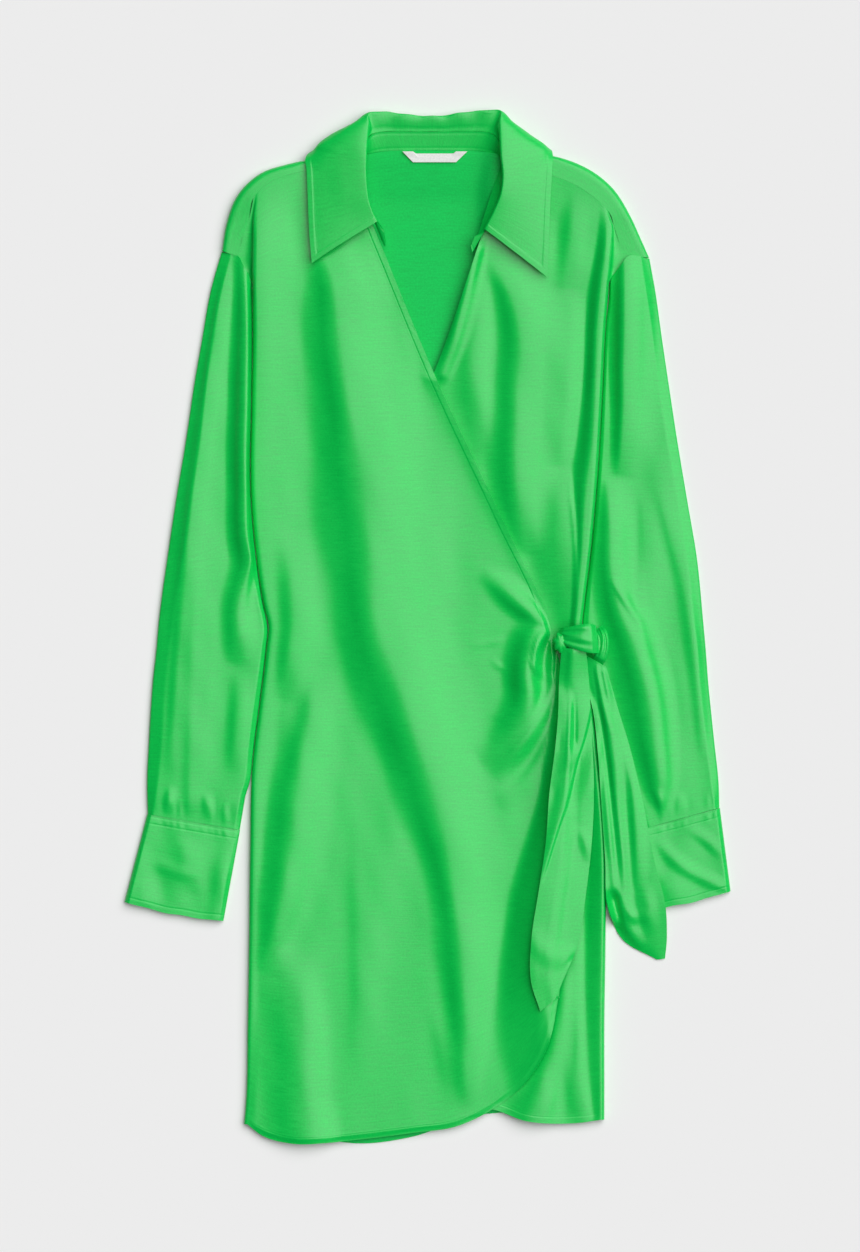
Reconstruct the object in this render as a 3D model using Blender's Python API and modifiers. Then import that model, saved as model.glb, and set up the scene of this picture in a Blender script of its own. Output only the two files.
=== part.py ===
"""Wrap dress laid flat on its back, as the thin cloth pieces it is cut from.

The helpers work in millimetres and the meshes are in metres. +Y runs from the hem to the
collar, +X to the right seen from above, +Z up from the floor. The origin is on the floor
under the middle of the dress. A piece is modelled as its outer face, and Solidify adds the
wall on the inner side. Left and right are as seen from above: side -1 and side 1.
"""
import math
from collections import namedtuple

import bmesh
import bpy
import numpy as np
from mathutils.bvhtree import BVHTree

MM = 0.001
CLOTH = 1.2         # wall of one piece, its turned edges included
SEAM_GAP = 0.4      # between two pieces at a seam
LAY_GAP = 0.9       # between two layers that lie on each other
TIE_GAP = 0.5       # under a tie, which bridges the folds it lies on
FLOOR_GAP = 0.1     # under the rolled side seams
HIDDEN_TOP = 3.4    # outer face of the lower front where the upper one covers it
FRONT_BASE = 6.4    # outer face of a front between its folds
NECK_RISE = 1.8     # a front is this much higher round the neck
BACK_LIFT = 2.4     # the back rises this much over the collar fall under it
SEAM_RUN = 4.0      # how far a side seam runs in under the roll
UNDERARM = 302.0    # where the side seams start
UNDERARM_WRAP = (0.6, 0.85)    # how far the front turns under in the first rows of a side seam
SHOWN_RUN = 3.0     # the lower front's close columns start this far under the upper one
ROLL_STEPS = 5      # facets round a rolled side
EDGE_SHARE = 0.45   # height of a flattened tube's edge over that of its top
UNDER_ROLL = 4.0    # flat width of the turn under a flattened tube
HEAD_GAP = 0.7      # between a sleeve's head and the armhole
SIDE_RUN = 24.0     # a front starts to rise to its side this far in
SIDE_RISE = 17.0    # and has risen after this
RIM_RISE = 0.6      # the upper front's free edge over what lies under it
TOP_SETTLE = (1, 0.6, 0.2)      # how much of its first rows lies at the shoulder seam's height
HEM_PULL = (1, 0.3, 0)          # how much of the back's first rows follows its hem

# The strip beside the fold, from the armhole up to the fold: share out to the armhole, and
# share of the drop from the fold.
STRIP_REACH = (1.0, 0.66, 0.34, 0.08, 0.0, 0.0)
STRIP_DROP = (1.0, 1.0, 0.97, 0.8, 0.45, 0.08)

# ---------------------------------------------------------------- sizes, in millimetres
# Both sides of the body: where the silhouette runs and how high its roll stands.
Side = namedtuple("Side", "y left right left_top right_top")
SIDES = (
    Side(378, -152.7, 162.8, 11.5, 11.5), Side(345, -153.4, 162.8, 13.5, 13.5),
    Side(307, -154.0, 160.2, 13.5, 14.0), Side(260, -153.6, 156.4, 13.0, 14.0),
    Side(199, -154.4, 153.4, 12.5, 14.0), Side(119, -155.3, 148.5, 12.0, 13.5),
    Side(65, -151.0, 143.5, 11.5, 13.0), Side(19, -144.3, 138.0, 11.0, 12.5),
    Side(-1, -140.0, 136.0, 10.5, 12.0), Side(-18, -141.5, 138.0, 10.5, 12.0),
    Side(-67, -147.4, 144.8, 10.5, 12.0), Side(-121, -154.0, 150.8, 10.0, 11.5),
    Side(-197, -156.2, 156.5, 9.5, 11.0), Side(-276, -157.1, 156.6, 9.0, 11.0),
    Side(-350, -158.3, 155.6, 8.5, 10.5), Side(-417, -159.7, 155.6, 8.0, 9.0),
    Side(-460, -163.5, 155.4, 7.5, 8.0),
)

# Free edges and hems of the fronts and the back, as x, y.
WRAP_EDGE = (
    (-66.5, 406.6), (-57.0, 380.0), (-48.0, 352.0), (-41.0, 335.0), (7.5, 218.0), (64.0, 97.5),
    (107.5, 1.0), (114.0, -25.0), (122.0, -109.0), (124.5, -197.0), (121.0, -285.0), (115.0, -326.0),
)
UNDER_EDGE = (
    (66.5, 407.1), (58.5, 385.0), (50.5, 352.0), (42.5, 328.0), (6.0, 223.5), (-42.0, 120.0),
    (-112.0, -12.0), (-121.0, -109.0), (-123.5, -197.0), (-120.0, -285.0), (-113.0, -330.0),
)
UPPER_HEM = (
    (-163.0, -438.0), (-145.5, -448.0), (-120.0, -454.8), (-90.0, -454.4), (-59.0, -451.4),
    (-12.0, -445.5), (25.0, -440.0), (56.0, -425.5), (86.5, -400.5), (107.0, -364.0), (115.0, -326.0),
)
LOWER_HEM = (
    (-113.0, -330.0), (-90.0, -385.0), (-55.0, -416.0), (-24.0, -431.0), (20.0, -428.0),
    (56.0, -425.0), (86.5, -435.0), (111.0, -437.4), (136.0, -436.5), (154.5, -434.0),
)
BACK_HEM = (
    (-150.0, -437.0), (-100.0, -450.0), (-59.0, -455.2), (-12.0, -449.0), (40.0, -431.0),
    (100.0, -428.0), (145.0, -429.0),
)

# Shoulders, from the armhole to the neck: the silhouette where the back rolls forward, and
# the forward seam where it meets the front. Row CREASE of the seam is where the fold that
# edges the body starts. The armhole goes on from the seam's first row to UNDERARM.
CREASE = 3
SHOULDER_LINE = {
    -1: ((-180.8, 329.8), (-177.3, 352.0), (-166.8, 379.3), (-145.6, 398.6), (-125.4, 405.4),
         (-106.0, 409.3), (-90.0, 410.0), (-66.5, 412.0)),
    1: ((194.9, 324.0), (187.9, 339.7), (178.2, 360.8), (162.4, 385.4), (149.2, 396.9),
        (129.8, 407.4), (108.7, 413.5), (66.5, 413.5)),
}
Seam = namedtuple("Seam", "x y z")
SHOULDER_SEAM = {
    -1: (Seam(-166.2, 324.6, 7.2), Seam(-163.6, 338.0, 7.6), Seam(-157.5, 355.0, 8.6),
         Seam(-152.7, 376.6, 10.2), Seam(-136.8, 390.7, 10.7), Seam(-118.0, 397.5, 10.7),
         Seam(-104.3, 400.5, 10.2), Seam(-66.5, 407.0, 9.0)),
    1: (Seam(176.5, 324.8, 7.2), Seam(170.5, 333.0, 7.6), Seam(165.0, 347.6, 8.6),
        Seam(160.0, 363.0, 10.2), Seam(149.2, 374.0, 10.7), Seam(128.0, 388.5, 10.7),
        Seam(109.6, 395.5, 10.2), Seam(66.5, 407.5, 9.0)),
}
ARMHOLE = {
    -1: (Seam(-162.8, 317.6, 6.8), Seam(-158.6, 309.6, 6.4)),
    1: (Seam(171.2, 317.8, 6.8), Seam(165.6, 309.8, 6.4)),
}
NECKLINE = ((-58.0, 414.0), (-40.0, 417.0), (2.0, 418.0), (44.0, 417.5), (58.0, 415.5))

# Folds of the cloth. Each row is one place on a crest: how wide its slopes are to the left
# and the right, going down the dress, and how high it stands over the cloth beside it.
Crest = namedtuple("Crest", "x y left right height")
UPPER_FOLDS = {
    "sweep from the shoulder to the hem": (
        Crest(-98, 322, 14, 30, 0), Crest(-93, 287, 18, 50, 6), Crest(-75, 199, 27, 60, 8.5),
        Crest(-62, 111, 31, 70, 10), Crest(-44, 23, 42, 70, 11), Crest(-20, -65, 46, 55, 11),
        Crest(4, -153, 34, 42, 10.5), Crest(20, -206, 26, 38, 10.5), Crest(30, -294, 21, 30, 10),
        Crest(31, -400, 16, 24, 6.5), Crest(30, -470, 14, 22, 4)),
    "soft roll under the shoulder": (
        Crest(-128, 385, 20, 22, 0), Crest(-127, 300, 22, 24, 3), Crest(-124, 190, 24, 26, 3),
        Crest(-120, 90, 24, 26, 2.5)),
    "waist dent": (
        Crest(-123, 62, 12, 22, 0), Crest(-115, 30, 22, 26, 5), Crest(-115, 2, 22, 26, 6),
        Crest(-124, -32, 14, 22, 0)),
    "lower left": (
        Crest(-90, -45, 16, 26, 0), Crest(-98, -75, 20, 28, 5), Crest(-112, -118, 22, 30, 6.5),
        Crest(-119, -171, 20, 30, 6.5), Crest(-127, -230, 18, 28, 6), Crest(-135, -300, 16, 24, 0)),
    "lower middle": (
        Crest(-54, -150, 18, 30, 0), Crest(-50, -220, 20, 34, 3), Crest(-48, -330, 20, 34, 4),
        Crest(-52, -450, 18, 30, 2.5)),
    "hem wave at the left": (
        Crest(-112, -330, 22, 26, 0), Crest(-108, -400, 24, 28, 3), Crest(-104, -462, 24, 28, 4)),
    "big gather at the knot": (
        Crest(106, -20, 16, 8, 5), Crest(101, -45, 22, 10, 9), Crest(92, -80, 26, 14, 9),
        Crest(72, -106, 24, 16, 6.5), Crest(46, -122, 18, 16, 0)),
    "lower gather": (
        Crest(109, -34, 8, 8, 2), Crest(104, -75, 13, 12, 4.5), Crest(90, -120, 16, 14, 4),
        Crest(60, -158, 16, 16, 0)),
    "upper gather": (
        Crest(100, 4, 12, 9, 4), Crest(84, 26, 15, 12, 5), Crest(64, 44, 14, 14, 0)),
    "short gather": (
        Crest(94, -12, 12, 10, 4), Crest(72, -14, 14, 12, 3), Crest(40, -20, 14, 14, 0)),
    "ridge beside the tie": (
        Crest(110, -60, 10, 12, 2.5), Crest(100, -140, 22, 16, 5.5), Crest(80, -215, 26, 16, 6.5),
        Crest(62, -310, 22, 18, 6), Crest(50, -430, 18, 18, 2.5)),
}
LOWER_FOLDS = {
    "breast": (
        Crest(60, 322, 12, 24, 0), Crest(74, 300, 14, 28, 4.5), Crest(82, 268, 21, 32, 7),
        Crest(82, 200, 23, 34, 7.5), Crest(79, 130, 23, 32, 7), Crest(79, 70, 20, 26, 5),
        Crest(82, 20, 16, 22, 0)),
    "tuck over the waist": (
        Crest(118, 190, 26, 7, 0), Crest(120, 140, 26, 7, 4.5), Crest(122, 60, 22, 6, 5),
        Crest(124, 10, 18, 6, 4)),
    "beside the collar point": (
        Crest(132, 385, 14, 16, 0), Crest(124, 345, 14, 18, 3), Crest(118, 290, 14, 18, 0)),
    "neck edge": (
        Crest(38, 326, 8, 9, 1), Crest(26, 262, 8, 9, 2.5), Crest(22, 215, 8, 8, 0)),
    "lower right": (
        Crest(128, -250, 14, 14, 0), Crest(130, -320, 16, 12, 4), Crest(134, -440, 18, 10, 4)),
}

# Sleeves, from the armhole to the cuff: outer and inner edge, the widths of the two rolls,
# the height between folds, and how much of the armhole's line the ring follows.
Arm = namedtuple("Arm", "outer_x outer_y inner_x inner_y outer_roll inner_roll top head")
SLEEVES = {
    -1: (
        Arm(-181.2, 329.0, -155.8, 301.6, 9, 5, 7.4, 1),
        Arm(-190.5, 295.7, -155.6, 285.0, 10, 5, 7.2, 0.3),
        Arm(-198.4, 251.7, -154.8, 255.0, 11, 5, 7.0, 0),
        Arm(-204.6, 216.5, -155.2, 225.0, 12, 6, 6.8, 0),
        Arm(-212.5, 163.7, -156.0, 176.0, 13, 7, 6.6, 0),
        Arm(-221.3, 110.9, -156.1, 125.0, 13, 8, 6.6, 0),
        Arm(-229.2, 58.1, -152.6, 70.0, 13, 8, 6.6, 0), Arm(-236.3, 5.3, -145.2, 17.0, 13, 7, 6.6, 0),
        Arm(-238.7, -21.0, -142.2, -10.0, 13, 7, 6.6, 0),
        Arm(-241.6, -47.5, -147.0, -52.0, 13, 8, 6.6, 0),
        Arm(-245.1, -100.3, -153.6, -105.0, 12, 8, 6.6, 0),
        Arm(-246.8, -140.0, -158.4, -139.0, 9, 8, 7.0, 0),
        Arm(-246.2, -165.6, -165.2, -179.4, 7, 7, 7.5, 0),
    ),
    1: (
        Arm(195.2, 323.2, 162.0, 301.6, 9, 5, 7.4, 1), Arm(200.2, 295.7, 161.0, 284.0, 10, 5, 7.2, 0.3),
        Arm(206.4, 251.7, 157.0, 252.0, 11, 6, 7.0, 0), Arm(211.6, 216.5, 155.2, 218.0, 12, 7, 6.8, 0),
        Arm(219.6, 163.7, 152.4, 166.0, 13, 9, 6.6, 0), Arm(228.4, 110.9, 149.2, 112.0, 13, 12, 6.6, 0),
        Arm(237.2, 58.1, 144.4, 62.0, 13, 13, 6.6, 0), Arm(242.4, 5.3, 140.0, 20.0, 13, 14, 6.6, 0),
        Arm(244.8, -21.0, 142.0, -10.0, 13, 15, 6.6, 0), Arm(246.8, -47.5, 149.0, -46.0, 13, 16, 6.6, 0),
        Arm(252.1, -100.3, 161.0, -100.0, 12, 18, 6.6, 0),
        Arm(256.2, -140.0, 175.0, -148.0, 9, 16, 7.0, 0),
        Arm(256.8, -159.8, 188.2, -178.8, 7, 12, 7.5, 0),
    ),
}
SLEEVE_FOLDS = {
    -1: {
        "inner ridge": (
            Crest(-166, 322, 8, 5, 0), Crest(-162.5, 290, 13, 5, 5.5), Crest(-161.5, 240, 15, 5, 7),
            Crest(-162, 170, 15, 5, 4), Crest(-163, 130, 14, 6, 0)),
        "long crest": (
            Crest(-192, 280, 14, 14, 0), Crest(-196, 200, 16, 18, 5), Crest(-201, 120, 18, 24, 6),
            Crest(-210, 40, 20, 28, 6), Crest(-220, -50, 22, 26, 5), Crest(-228, -130, 16, 20, 4),
            Crest(-230, -175, 10, 16, 2)),
        "elbow": (
            Crest(-154, 44, 14, 6, 2.5), Crest(-166, 26, 12, 12, 6), Crest(-182, -2, 14, 14, 4.5),
            Crest(-190, -34, 14, 14, 0)),
        "forearm": (
            Crest(-164, -40, 14, 12, 0), Crest(-169, -90, 16, 14, 5), Crest(-174, -150, 14, 12, 4.5),
            Crest(-178, -184, 8, 8, 2.5)),
        "cuff gather": (
            Crest(-200, -120, 8, 8, 0), Crest(-200, -172, 9, 9, 4.5)),
    },
    1: {
        "outer crest": (
            Crest(180, 305, 12, 14, 0), Crest(183, 270, 16, 18, 7), Crest(186, 220, 20, 20, 7.5),
            Crest(194, 150, 24, 22, 5.5), Crest(206, 60, 28, 24, 5), Crest(214, -20, 26, 22, 4),
            Crest(222, -80, 22, 20, 0)),
        "inner crest": (
            Crest(168, 120, 14, 14, 0), Crest(174, 60, 18, 16, 4), Crest(182, -10, 22, 16, 5.5),
            Crest(194, -80, 24, 16, 6), Crest(203, -140, 20, 14, 5), Crest(208, -180, 10, 10, 2.5)),
        "outer crease": (
            Crest(236, -40, 14, 10, 0), Crest(240, -100, 14, 8, 3), Crest(243, -170, 10, 7, 2.5)),
    },
}
# Cuffs: the corners of each flattened band, and how far its lower edge bows.
Cuff = namedtuple("Cuff", "outer_seam inner_seam outer_hem inner_hem")
CUFFS = {
    -1: Cuff((-246.6, -166.4), (-164.9, -180.4), (-266.6, -242.6), (-179.5, -259.4)),
    1: Cuff((257.2, -160.8), (187.6, -179.8), (266.6, -233.2), (182.6, -251.0)),
}
CUFF_TOP = 6.2
CUFF_ROLL = 6.0
CUFF_BOW = 2.5

# Ties, from the knot to the tip: the left edge, the right edge, and the crown between them.
Tail = namedtuple("Tail", "left right crown")
TIE_FRONT = (
    Tail((117.5, -19.0, 21.2), (139, -21.0, 21.6), 2.6), Tail((114, -45, 16.5), (140.5, -45, 16.5), 3),
    Tail((111, -100, 13.6), (142, -98, 14.4), 3), Tail((107, -140, 13.0), (146, -135, 14.2), 2.5),
    Tail((103, -190, 13.0), (144.5, -185, 13.6), 2.5), Tail((96, -235, 14.5), (139.5, -231, 13.0), 3),
    Tail((90.5, -275, 15.5), (132.5, -277, 13.0), 3), Tail((91, -313, 12.5), (121, -306, 11.5), 2),
    Tail((99, -338, 9.0), (112, -327, 9.2), 0.8),
)
TIE_SIDE = (
    Tail((143.5, -31.4, 17.3), (157, -39.3, 17.3), 1.5), Tail((145, -75, 14.5), (168, -72, 11.5), 3),
    Tail((148.5, -112, 13.4), (178, -106, 10.5), 3.5), Tail((152.5, -162, 12.8), (190, -158, 10.0), 3.5),
    Tail((157.5, -205, 11.5), (199, -205, 9.0), 3), Tail((166, -250, 6.0), (209, -245, 8.6), 2.5),
    Tail((178, -277, 3.2), (210.5, -272, 4.6), 2), Tail((196, -295, 1.6), (210, -292, 1.8), 0.4),
)

# Collar fall. A row is one place round the neck, from the left point to the right one: the
# seam on the stand, the inner edge of the fold, its top, two places down the fall, and its
# free edge. Behind the neck the fall goes under the back.
Fall = namedtuple("Fall", "seam fold top mid low edge")
COLLAR = (
    Fall((-46.5, 354, 16.5), (-43.6, 355.5, 19.0), (-47, 352.5, 21.5),
         (-65, 342, 20), (-84, 330, 18), (-101.6, 318.6, 15.5)),
    Fall((-51, 364, 17), (-48, 364.5, 20.5), (-52, 363, 23.5),
         (-70, 358, 21.5), (-88, 351, 19), (-103.8, 345, 16.5)),
    Fall((-54.5, 377, 18), (-51.5, 377, 22), (-56, 376.5, 25.5),
         (-74, 376, 23), (-91, 375, 20), (-105, 374, 17)),
    Fall((-56.5, 396, 19), (-53.2, 396, 23.5), (-58, 396.5, 27.5),
         (-75, 397, 24), (-92, 398, 20), (-106, 398, 16.5)),
    Fall((-56.5, 408, 20), (-53.2, 408.5, 24.5), (-58, 410.5, 29),
         (-77, 415, 25), (-96, 416, 19.5), (-107.5, 412.8, 11)),
    Fall((-56.3, 414, 20.4), (-53, 415.5, 25), (-58, 418, 29),
         (-79, 423, 23.5), (-97, 421.5, 12.5), (-101.5, 417, 2.4)),
    Fall((-55.5, 419, 20.7), (-52.5, 422, 25.5), (-56, 426, 29),
         (-78, 431.5, 20), (-91, 426.5, 5), (-91, 408, 0.1)),
    Fall((-52.6, 425, 20.6), (-51, 433, 25.5), (-54, 438, 28),
         (-66, 442.5, 15), (-68, 435, 2.5), (-64, 399, 0.1)),
    Fall((-42.8, 431.3, 20.6), (-46, 443.5, 25.5), (-49, 449.5, 24.5),
         (-50, 451.5, 12), (-48, 443, 1.8), (-40, 397, 0.1)),
    Fall((-24.2, 434.6, 20.6), (-25, 443, 24.5), (-25, 448.5, 22),
         (-25, 449.5, 11), (-25, 441, 1.8), (-22, 400, 0.1)),
    Fall((4, 434.6, 20.2), (4, 442, 23.5), (4, 447, 21), (4, 448, 10.5), (4, 440, 1.8), (4, 402, 0.1)),
    Fall((31.8, 435.6, 20.6), (33, 444, 24.5), (33, 450, 22),
         (33, 451, 11), (33, 442, 1.8), (30, 400, 0.1)),
    Fall((52.4, 433.3, 20.7), (57, 446, 25.5), (60, 454, 24.5),
         (62, 457, 12), (60, 447, 1.8), (50, 399, 0.1)),
    Fall((61.2, 427, 20.6), (61.5, 436, 25.5), (65, 441, 28),
         (78, 445, 15), (80, 437.5, 2.5), (74, 400, 0.1)),
    Fall((65.5, 420, 20.7), (62.8, 423, 25.5), (67, 427, 29),
         (88, 434, 20), (100, 430, 5), (96, 411, 0.1)),
    Fall((66.5, 415, 20.4), (63.4, 416.5, 25), (68, 419, 29),
         (88, 426, 23.5), (102, 426, 12.5), (107, 421, 2.5)),
    Fall((67, 408, 20), (64, 409, 24.5), (69, 411.5, 29),
         (86, 417.5, 25), (101, 420, 19.5), (110.5, 417.5, 11)),
    Fall((68.5, 395, 19), (65.4, 395, 23.5), (70, 395.5, 27.5),
         (85, 398, 24), (98, 400, 20), (109.5, 401, 16.5)),
    Fall((66, 380, 18), (63.6, 379, 22), (68, 378, 25.5), (82, 378, 23), (96, 377, 20), (108, 375, 17)),
    Fall((60, 366, 17), (57.6, 364, 20.5), (62, 361, 23.5),
         (77, 354, 21.5), (93, 347, 19), (106.6, 341, 16.5)),
    Fall((52.5, 347, 16.5), (49.7, 348.5, 19), (53, 345.5, 21.5),
         (70, 334, 20), (88, 320, 18), (105.2, 306.2, 15.5)),
)
# Collar stand: its seam on the neckline and its top, at places round the neck.
Stand = namedtuple("Stand", "foot top")
STAND = (
    Stand((-39.2, 334.5, 9.4), (-45.4, 353.5, 14.6)), Stand((-47, 356, 9.6), (-51.4, 364.5, 15.2)),
    Stand((-56, 381, 9.8), (-56, 379, 16)), Stand((-63.5, 402, 9), (-57.6, 398, 17)),
    Stand((-63.5, 409.5, 7.2), (-57.4, 411, 18)), Stand((-55, 416.5, 5.2), (-54, 421, 18.6)),
    Stand((-40, 419.2, 4.4), (-43.5, 430.4, 19)), Stand((-22, 419.6, 4.2), (-24.5, 434, 19)),
    Stand((4, 419.6, 4.2), (4, 434, 18.6)), Stand((28, 419.8, 4.2), (31.5, 435, 19)),
    Stand((44, 419.6, 4.4), (52, 432.4, 19)), Stand((56, 417.6, 5.2), (63, 423, 18.6)),
    Stand((63.5, 410.5, 7.2), (67.2, 411.5, 18)), Stand((64, 402, 9), (68.8, 398.5, 17)),
    Stand((57.5, 383, 9.8), (67, 381.5, 16)), Stand((49, 356, 9.6), (61, 366.5, 15.2)),
    Stand((40.5, 329, 9.4), (52, 346.8, 14.6)),
)
LABEL_TOP = (-22.0, 35.0, 417.0)      # left x, right x, y
LABEL_FOOT = (-12.8, 25.1, 407.6)
LABEL_WALL = 1.0

# Knot: the band wrapped over it, the loop at its right and the gathered core under both.
# A row is one place along the strip: centre, half width and direction across it.
Wrap = namedtuple("Wrap", "x y z half_x half_y")
KNOT_BAND = (
    Wrap(116.5, -7.5, 18.0, 1.5, 3.0), Wrap(122, -8.5, 22.9, 1.8, 5.5), Wrap(130, -8.8, 26.2, 1.5, 8.2),
    Wrap(138, -9.4, 27.4, 0.5, 10.2), Wrap(144.5, -10.1, 26.4, -1.0, 11.2), Wrap(148.6, -10.8, 23.4, -1.5, 10.8),
)
KNOT_LOOP = (
    Wrap(150, -1.5, 16.0, 4.0, 2.2), Wrap(153, -8, 20.0, 4.8, 2.0), Wrap(154, -17, 21.4, 5.2, 0.3),
    Wrap(152.2, -26, 20.6, 5.0, -2.2), Wrap(148.5, -33, 18.0, 4.0, -3.0),
)
CORE_CENTRE = (133.5, -11.5, 17.8)
CORE_HALF = (11.5, 11.0, 5.7)
CORE_PLEATS = 7
CORE_PLEAT_DEPTH = 0.09

# Rows of the fronts between the underarm and the hem, closest round the knot.
LEVELS = (294, 285, 255, 222, 190, 158, 128, 100, 76, 55, 38, 22, 7, -8, -23, -38, -54, -71, -90, -112,
          -138, -168, -200, -235, -270)
STRIP_ROWS = 6
HEM_ROWS = 5
CREASE_START = 0.07    # share of the shoulder seam taken by the fold that edges the body
UPPER_COLUMNS = 21
LOWER_COLUMNS = 12
SHOWN_COLUMNS = 7
BACK_ARM = {
    -1: ((-163.0, 324.0), (-151.0, 313.0), (-142.6, 301.0)),
    1: ((172.0, 325.0), (157.5, 313.5), (147.4, 301.0)),
}
BACK_LEVELS = (-400, -340, -260, -180, -110, -60, -18, -1, 19, 60, 110, 180, 240)
BACK_TOP_ROWS = 7
SHOULDER_COLUMNS = 9
NECK_COLUMNS = 6

# Points of the other pieces, along and across each.
SLEEVE_RINGS, CUFF_RINGS = 19, 4
STAND_ROWS, STAND_COLUMNS = 27, 3
LEAF_ROWS, LEAF_COLUMNS = 37, 9
TAIL_ROWS, TAIL_COLUMNS = 18, 6
WRAP_ROWS, BAND_COLUMNS, LOOP_COLUMNS = 10, 7, 6
WRAP_CROWN = 2.0


# ---------------------------------------------------------------- curves
def spline(knots, values, at):
    """Smooth curve through the values, read at places between the knots."""
    knots = np.asarray(knots, float)
    values = np.asarray(values, float)
    at = np.clip(np.asarray(at, float), knots[0], knots[-1])
    slope = np.gradient(values, knots, axis=0)
    index = np.clip(np.searchsorted(knots, at, side="right") - 1, 0, len(knots) - 2)
    wide = at.shape + (1,) * (values.ndim - 1)
    span = (knots[index + 1] - knots[index]).reshape(wide)
    u = (at - knots[index]).reshape(wide) / span
    ends = values[index] * (1 - 3 * u ** 2 + 2 * u ** 3) + values[index + 1] * (3 * u ** 2 - 2 * u ** 3)
    return ends + slope[index] * span * (u - 1) ** 2 * u + slope[index + 1] * span * (u - 1) * u ** 2


def chord_knots(rows, axes):
    """Places of the rows along the line through their first columns, from 0 to 1."""
    steps = np.linalg.norm(np.diff(np.asarray(rows, float)[:, :axes], axis=0), axis=1)
    return np.concatenate([[0.0], np.cumsum(steps)]) / steps.sum()


def trace(rows, at, axes=2):
    """Rows read at fractions of the length of the smooth curve through them."""
    return spline(chord_knots(rows, axes), rows, at)


def across_at(points, y):
    """The x of a line of points that runs along the dress, at each y."""
    table = np.array(sorted((point[1], point[0]) for point in points))
    return spline(table[:, 0], table[:, 1], y)


def side_at(y):
    """The left, right, left_top and right_top of SIDES at each y."""
    table = np.array(sorted(SIDES))
    return np.moveaxis(spline(table[:, 0], table[:, 1:], y), -1, 0)


def shoulder_shares(side):
    """Places along a shoulder seam that both its pieces have points at."""
    crease = chord_knots(SHOULDER_SEAM[side], 2)[CREASE]
    return np.concatenate([np.linspace(0, crease, 4)[:-1], np.linspace(crease, 1, SHOULDER_COLUMNS - 3)])


def on_shoulder_seam(side, at):
    """Points on the straight runs between those places."""
    shares = shoulder_shares(side)
    seam = trace(SHOULDER_SEAM[side], shares)
    return np.column_stack([np.interp(at, shares, column) for column in seam.T])


def ease(u):
    """Smooth step from 0 to 1."""
    u = np.clip(u, 0.0, 1.0)
    return u * u * (3 - 2 * u)


def quarter_round(u):
    """Rise of a quarter circle over its foot, for a place 0 to 1 along the foot."""
    return np.sqrt(1 - (1 - np.clip(u, 0.0, 1.0)) ** 2)


def unit(vectors):
    """Vectors at length one."""
    return vectors / np.linalg.norm(vectors, axis=-1, keepdims=True)


# ---------------------------------------------------------------- how the cloth lies
def fold_height(x, y, crests):
    """Height that one fold adds at each point: a rounded ridge along its crest."""
    path = trace(crests, np.linspace(0, 1, 8 * len(crests)))
    start, run = path[:-1], np.diff(path, axis=0)
    dx = x[..., None] - start[:, 0]
    dy = y[..., None] - start[:, 1]
    along = np.clip((dx * run[:, 0] + dy * run[:, 1]) / (run[:, 0] ** 2 + run[:, 1] ** 2), 0, 1)
    away = np.hypot(dx - along * run[:, 0], dy - along * run[:, 1])
    near = np.argmin(away, axis=-1)[..., None]
    side = np.take_along_axis(dy * run[:, 0] - dx * run[:, 1], near, -1)[..., 0]
    away = np.take_along_axis(away, near, -1)[..., 0]
    along = np.take_along_axis(along, near, -1)[..., 0]
    here = start[near[..., 0]] + along[..., None] * run[near[..., 0]]
    width = np.where(side > 0, here[..., 3], here[..., 2])
    return here[..., 4] * (0.5 + 0.5 * np.cos(math.pi * np.clip(away / width, 0, 1)))


def folds(x, y, table):
    """Height that all folds of a table add."""
    return sum(fold_height(x, y, crests) for crests in table.values())


def shown_from(y):
    """The x right of which the lower front shows."""
    over = {p for p in UPPER_HEM if p[0] > 20} | {p for p in WRAP_EDGE if p[1] < 230}
    own = across_at(UNDER_EDGE[:6], np.clip(y, 120, 407))
    return np.where(y > 218, own, np.maximum(across_at(over, np.clip(y, -440, 218)), -999))


def front_base(y):
    """Outer face of a front between its folds at each y."""
    return FRONT_BASE + NECK_RISE * ease((y - 250) / 80)


def lower_height(x, y):
    """Outer face of the lower front."""
    _, right, _, top = side_at(y)
    shown = ease((x - shown_from(y)) / 26)
    low = HIDDEN_TOP + 2.4 * ease((y - 218) / 40)
    height = low + shown * (front_base(y) - low + folds(x, y, LOWER_FOLDS))
    return height + ease((x - right + SIDE_RUN) / SIDE_RISE) * (top - height)


def upper_height(x, y):
    """Outer face of the upper front, clear of the lower one under it."""
    left, _, top, _ = side_at(y)
    height = front_base(y) + folds(x, y, UPPER_FOLDS)
    over = ease((x - across_at(UNDER_EDGE, np.clip(y, -330, 407)) + 30) / 30)
    clear = CLOTH + LAY_GAP * (1 + ease((-250 - y) / 60))
    least = over * (lower_height(x, y) + clear) + (1 - over) * HIDDEN_TOP
    height = least + np.logaddexp(0, 1.5 * (height - least)) / 1.5
    knot = np.exp(-((y + 20) / 60) ** 2)
    edge = ease((across_at(WRAP_EDGE, np.clip(y, -326, 406)) - x) / (16 - 11 * knot))
    rim = np.where(y > 218, front_base(y), least) + RIM_RISE
    height = rim + (height - rim) * np.where(y < -326, 1, edge)
    return height + ease((left + SIDE_RUN - x) / SIDE_RISE) * (top - height)


def back_foot(x, y):
    """Outer face of the back on the floor, lifted over the collar fall."""
    return BACK_LIFT * ease((y - 372) / 18) * ease((118 - np.abs(x - 2)) / 8)


# ---------------------------------------------------------------- meshes
def material(name, colour, roughness):
    """Principled material in one colour."""
    made = bpy.data.materials.new(name)
    made.use_nodes = True
    shader = made.node_tree.nodes["Principled BSDF"]
    shader.inputs["Base Color"].default_value = (*colour, 1.0)
    shader.inputs["Roughness"].default_value = roughness
    shader.inputs["Metallic"].default_value = 0.0
    return made


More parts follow.
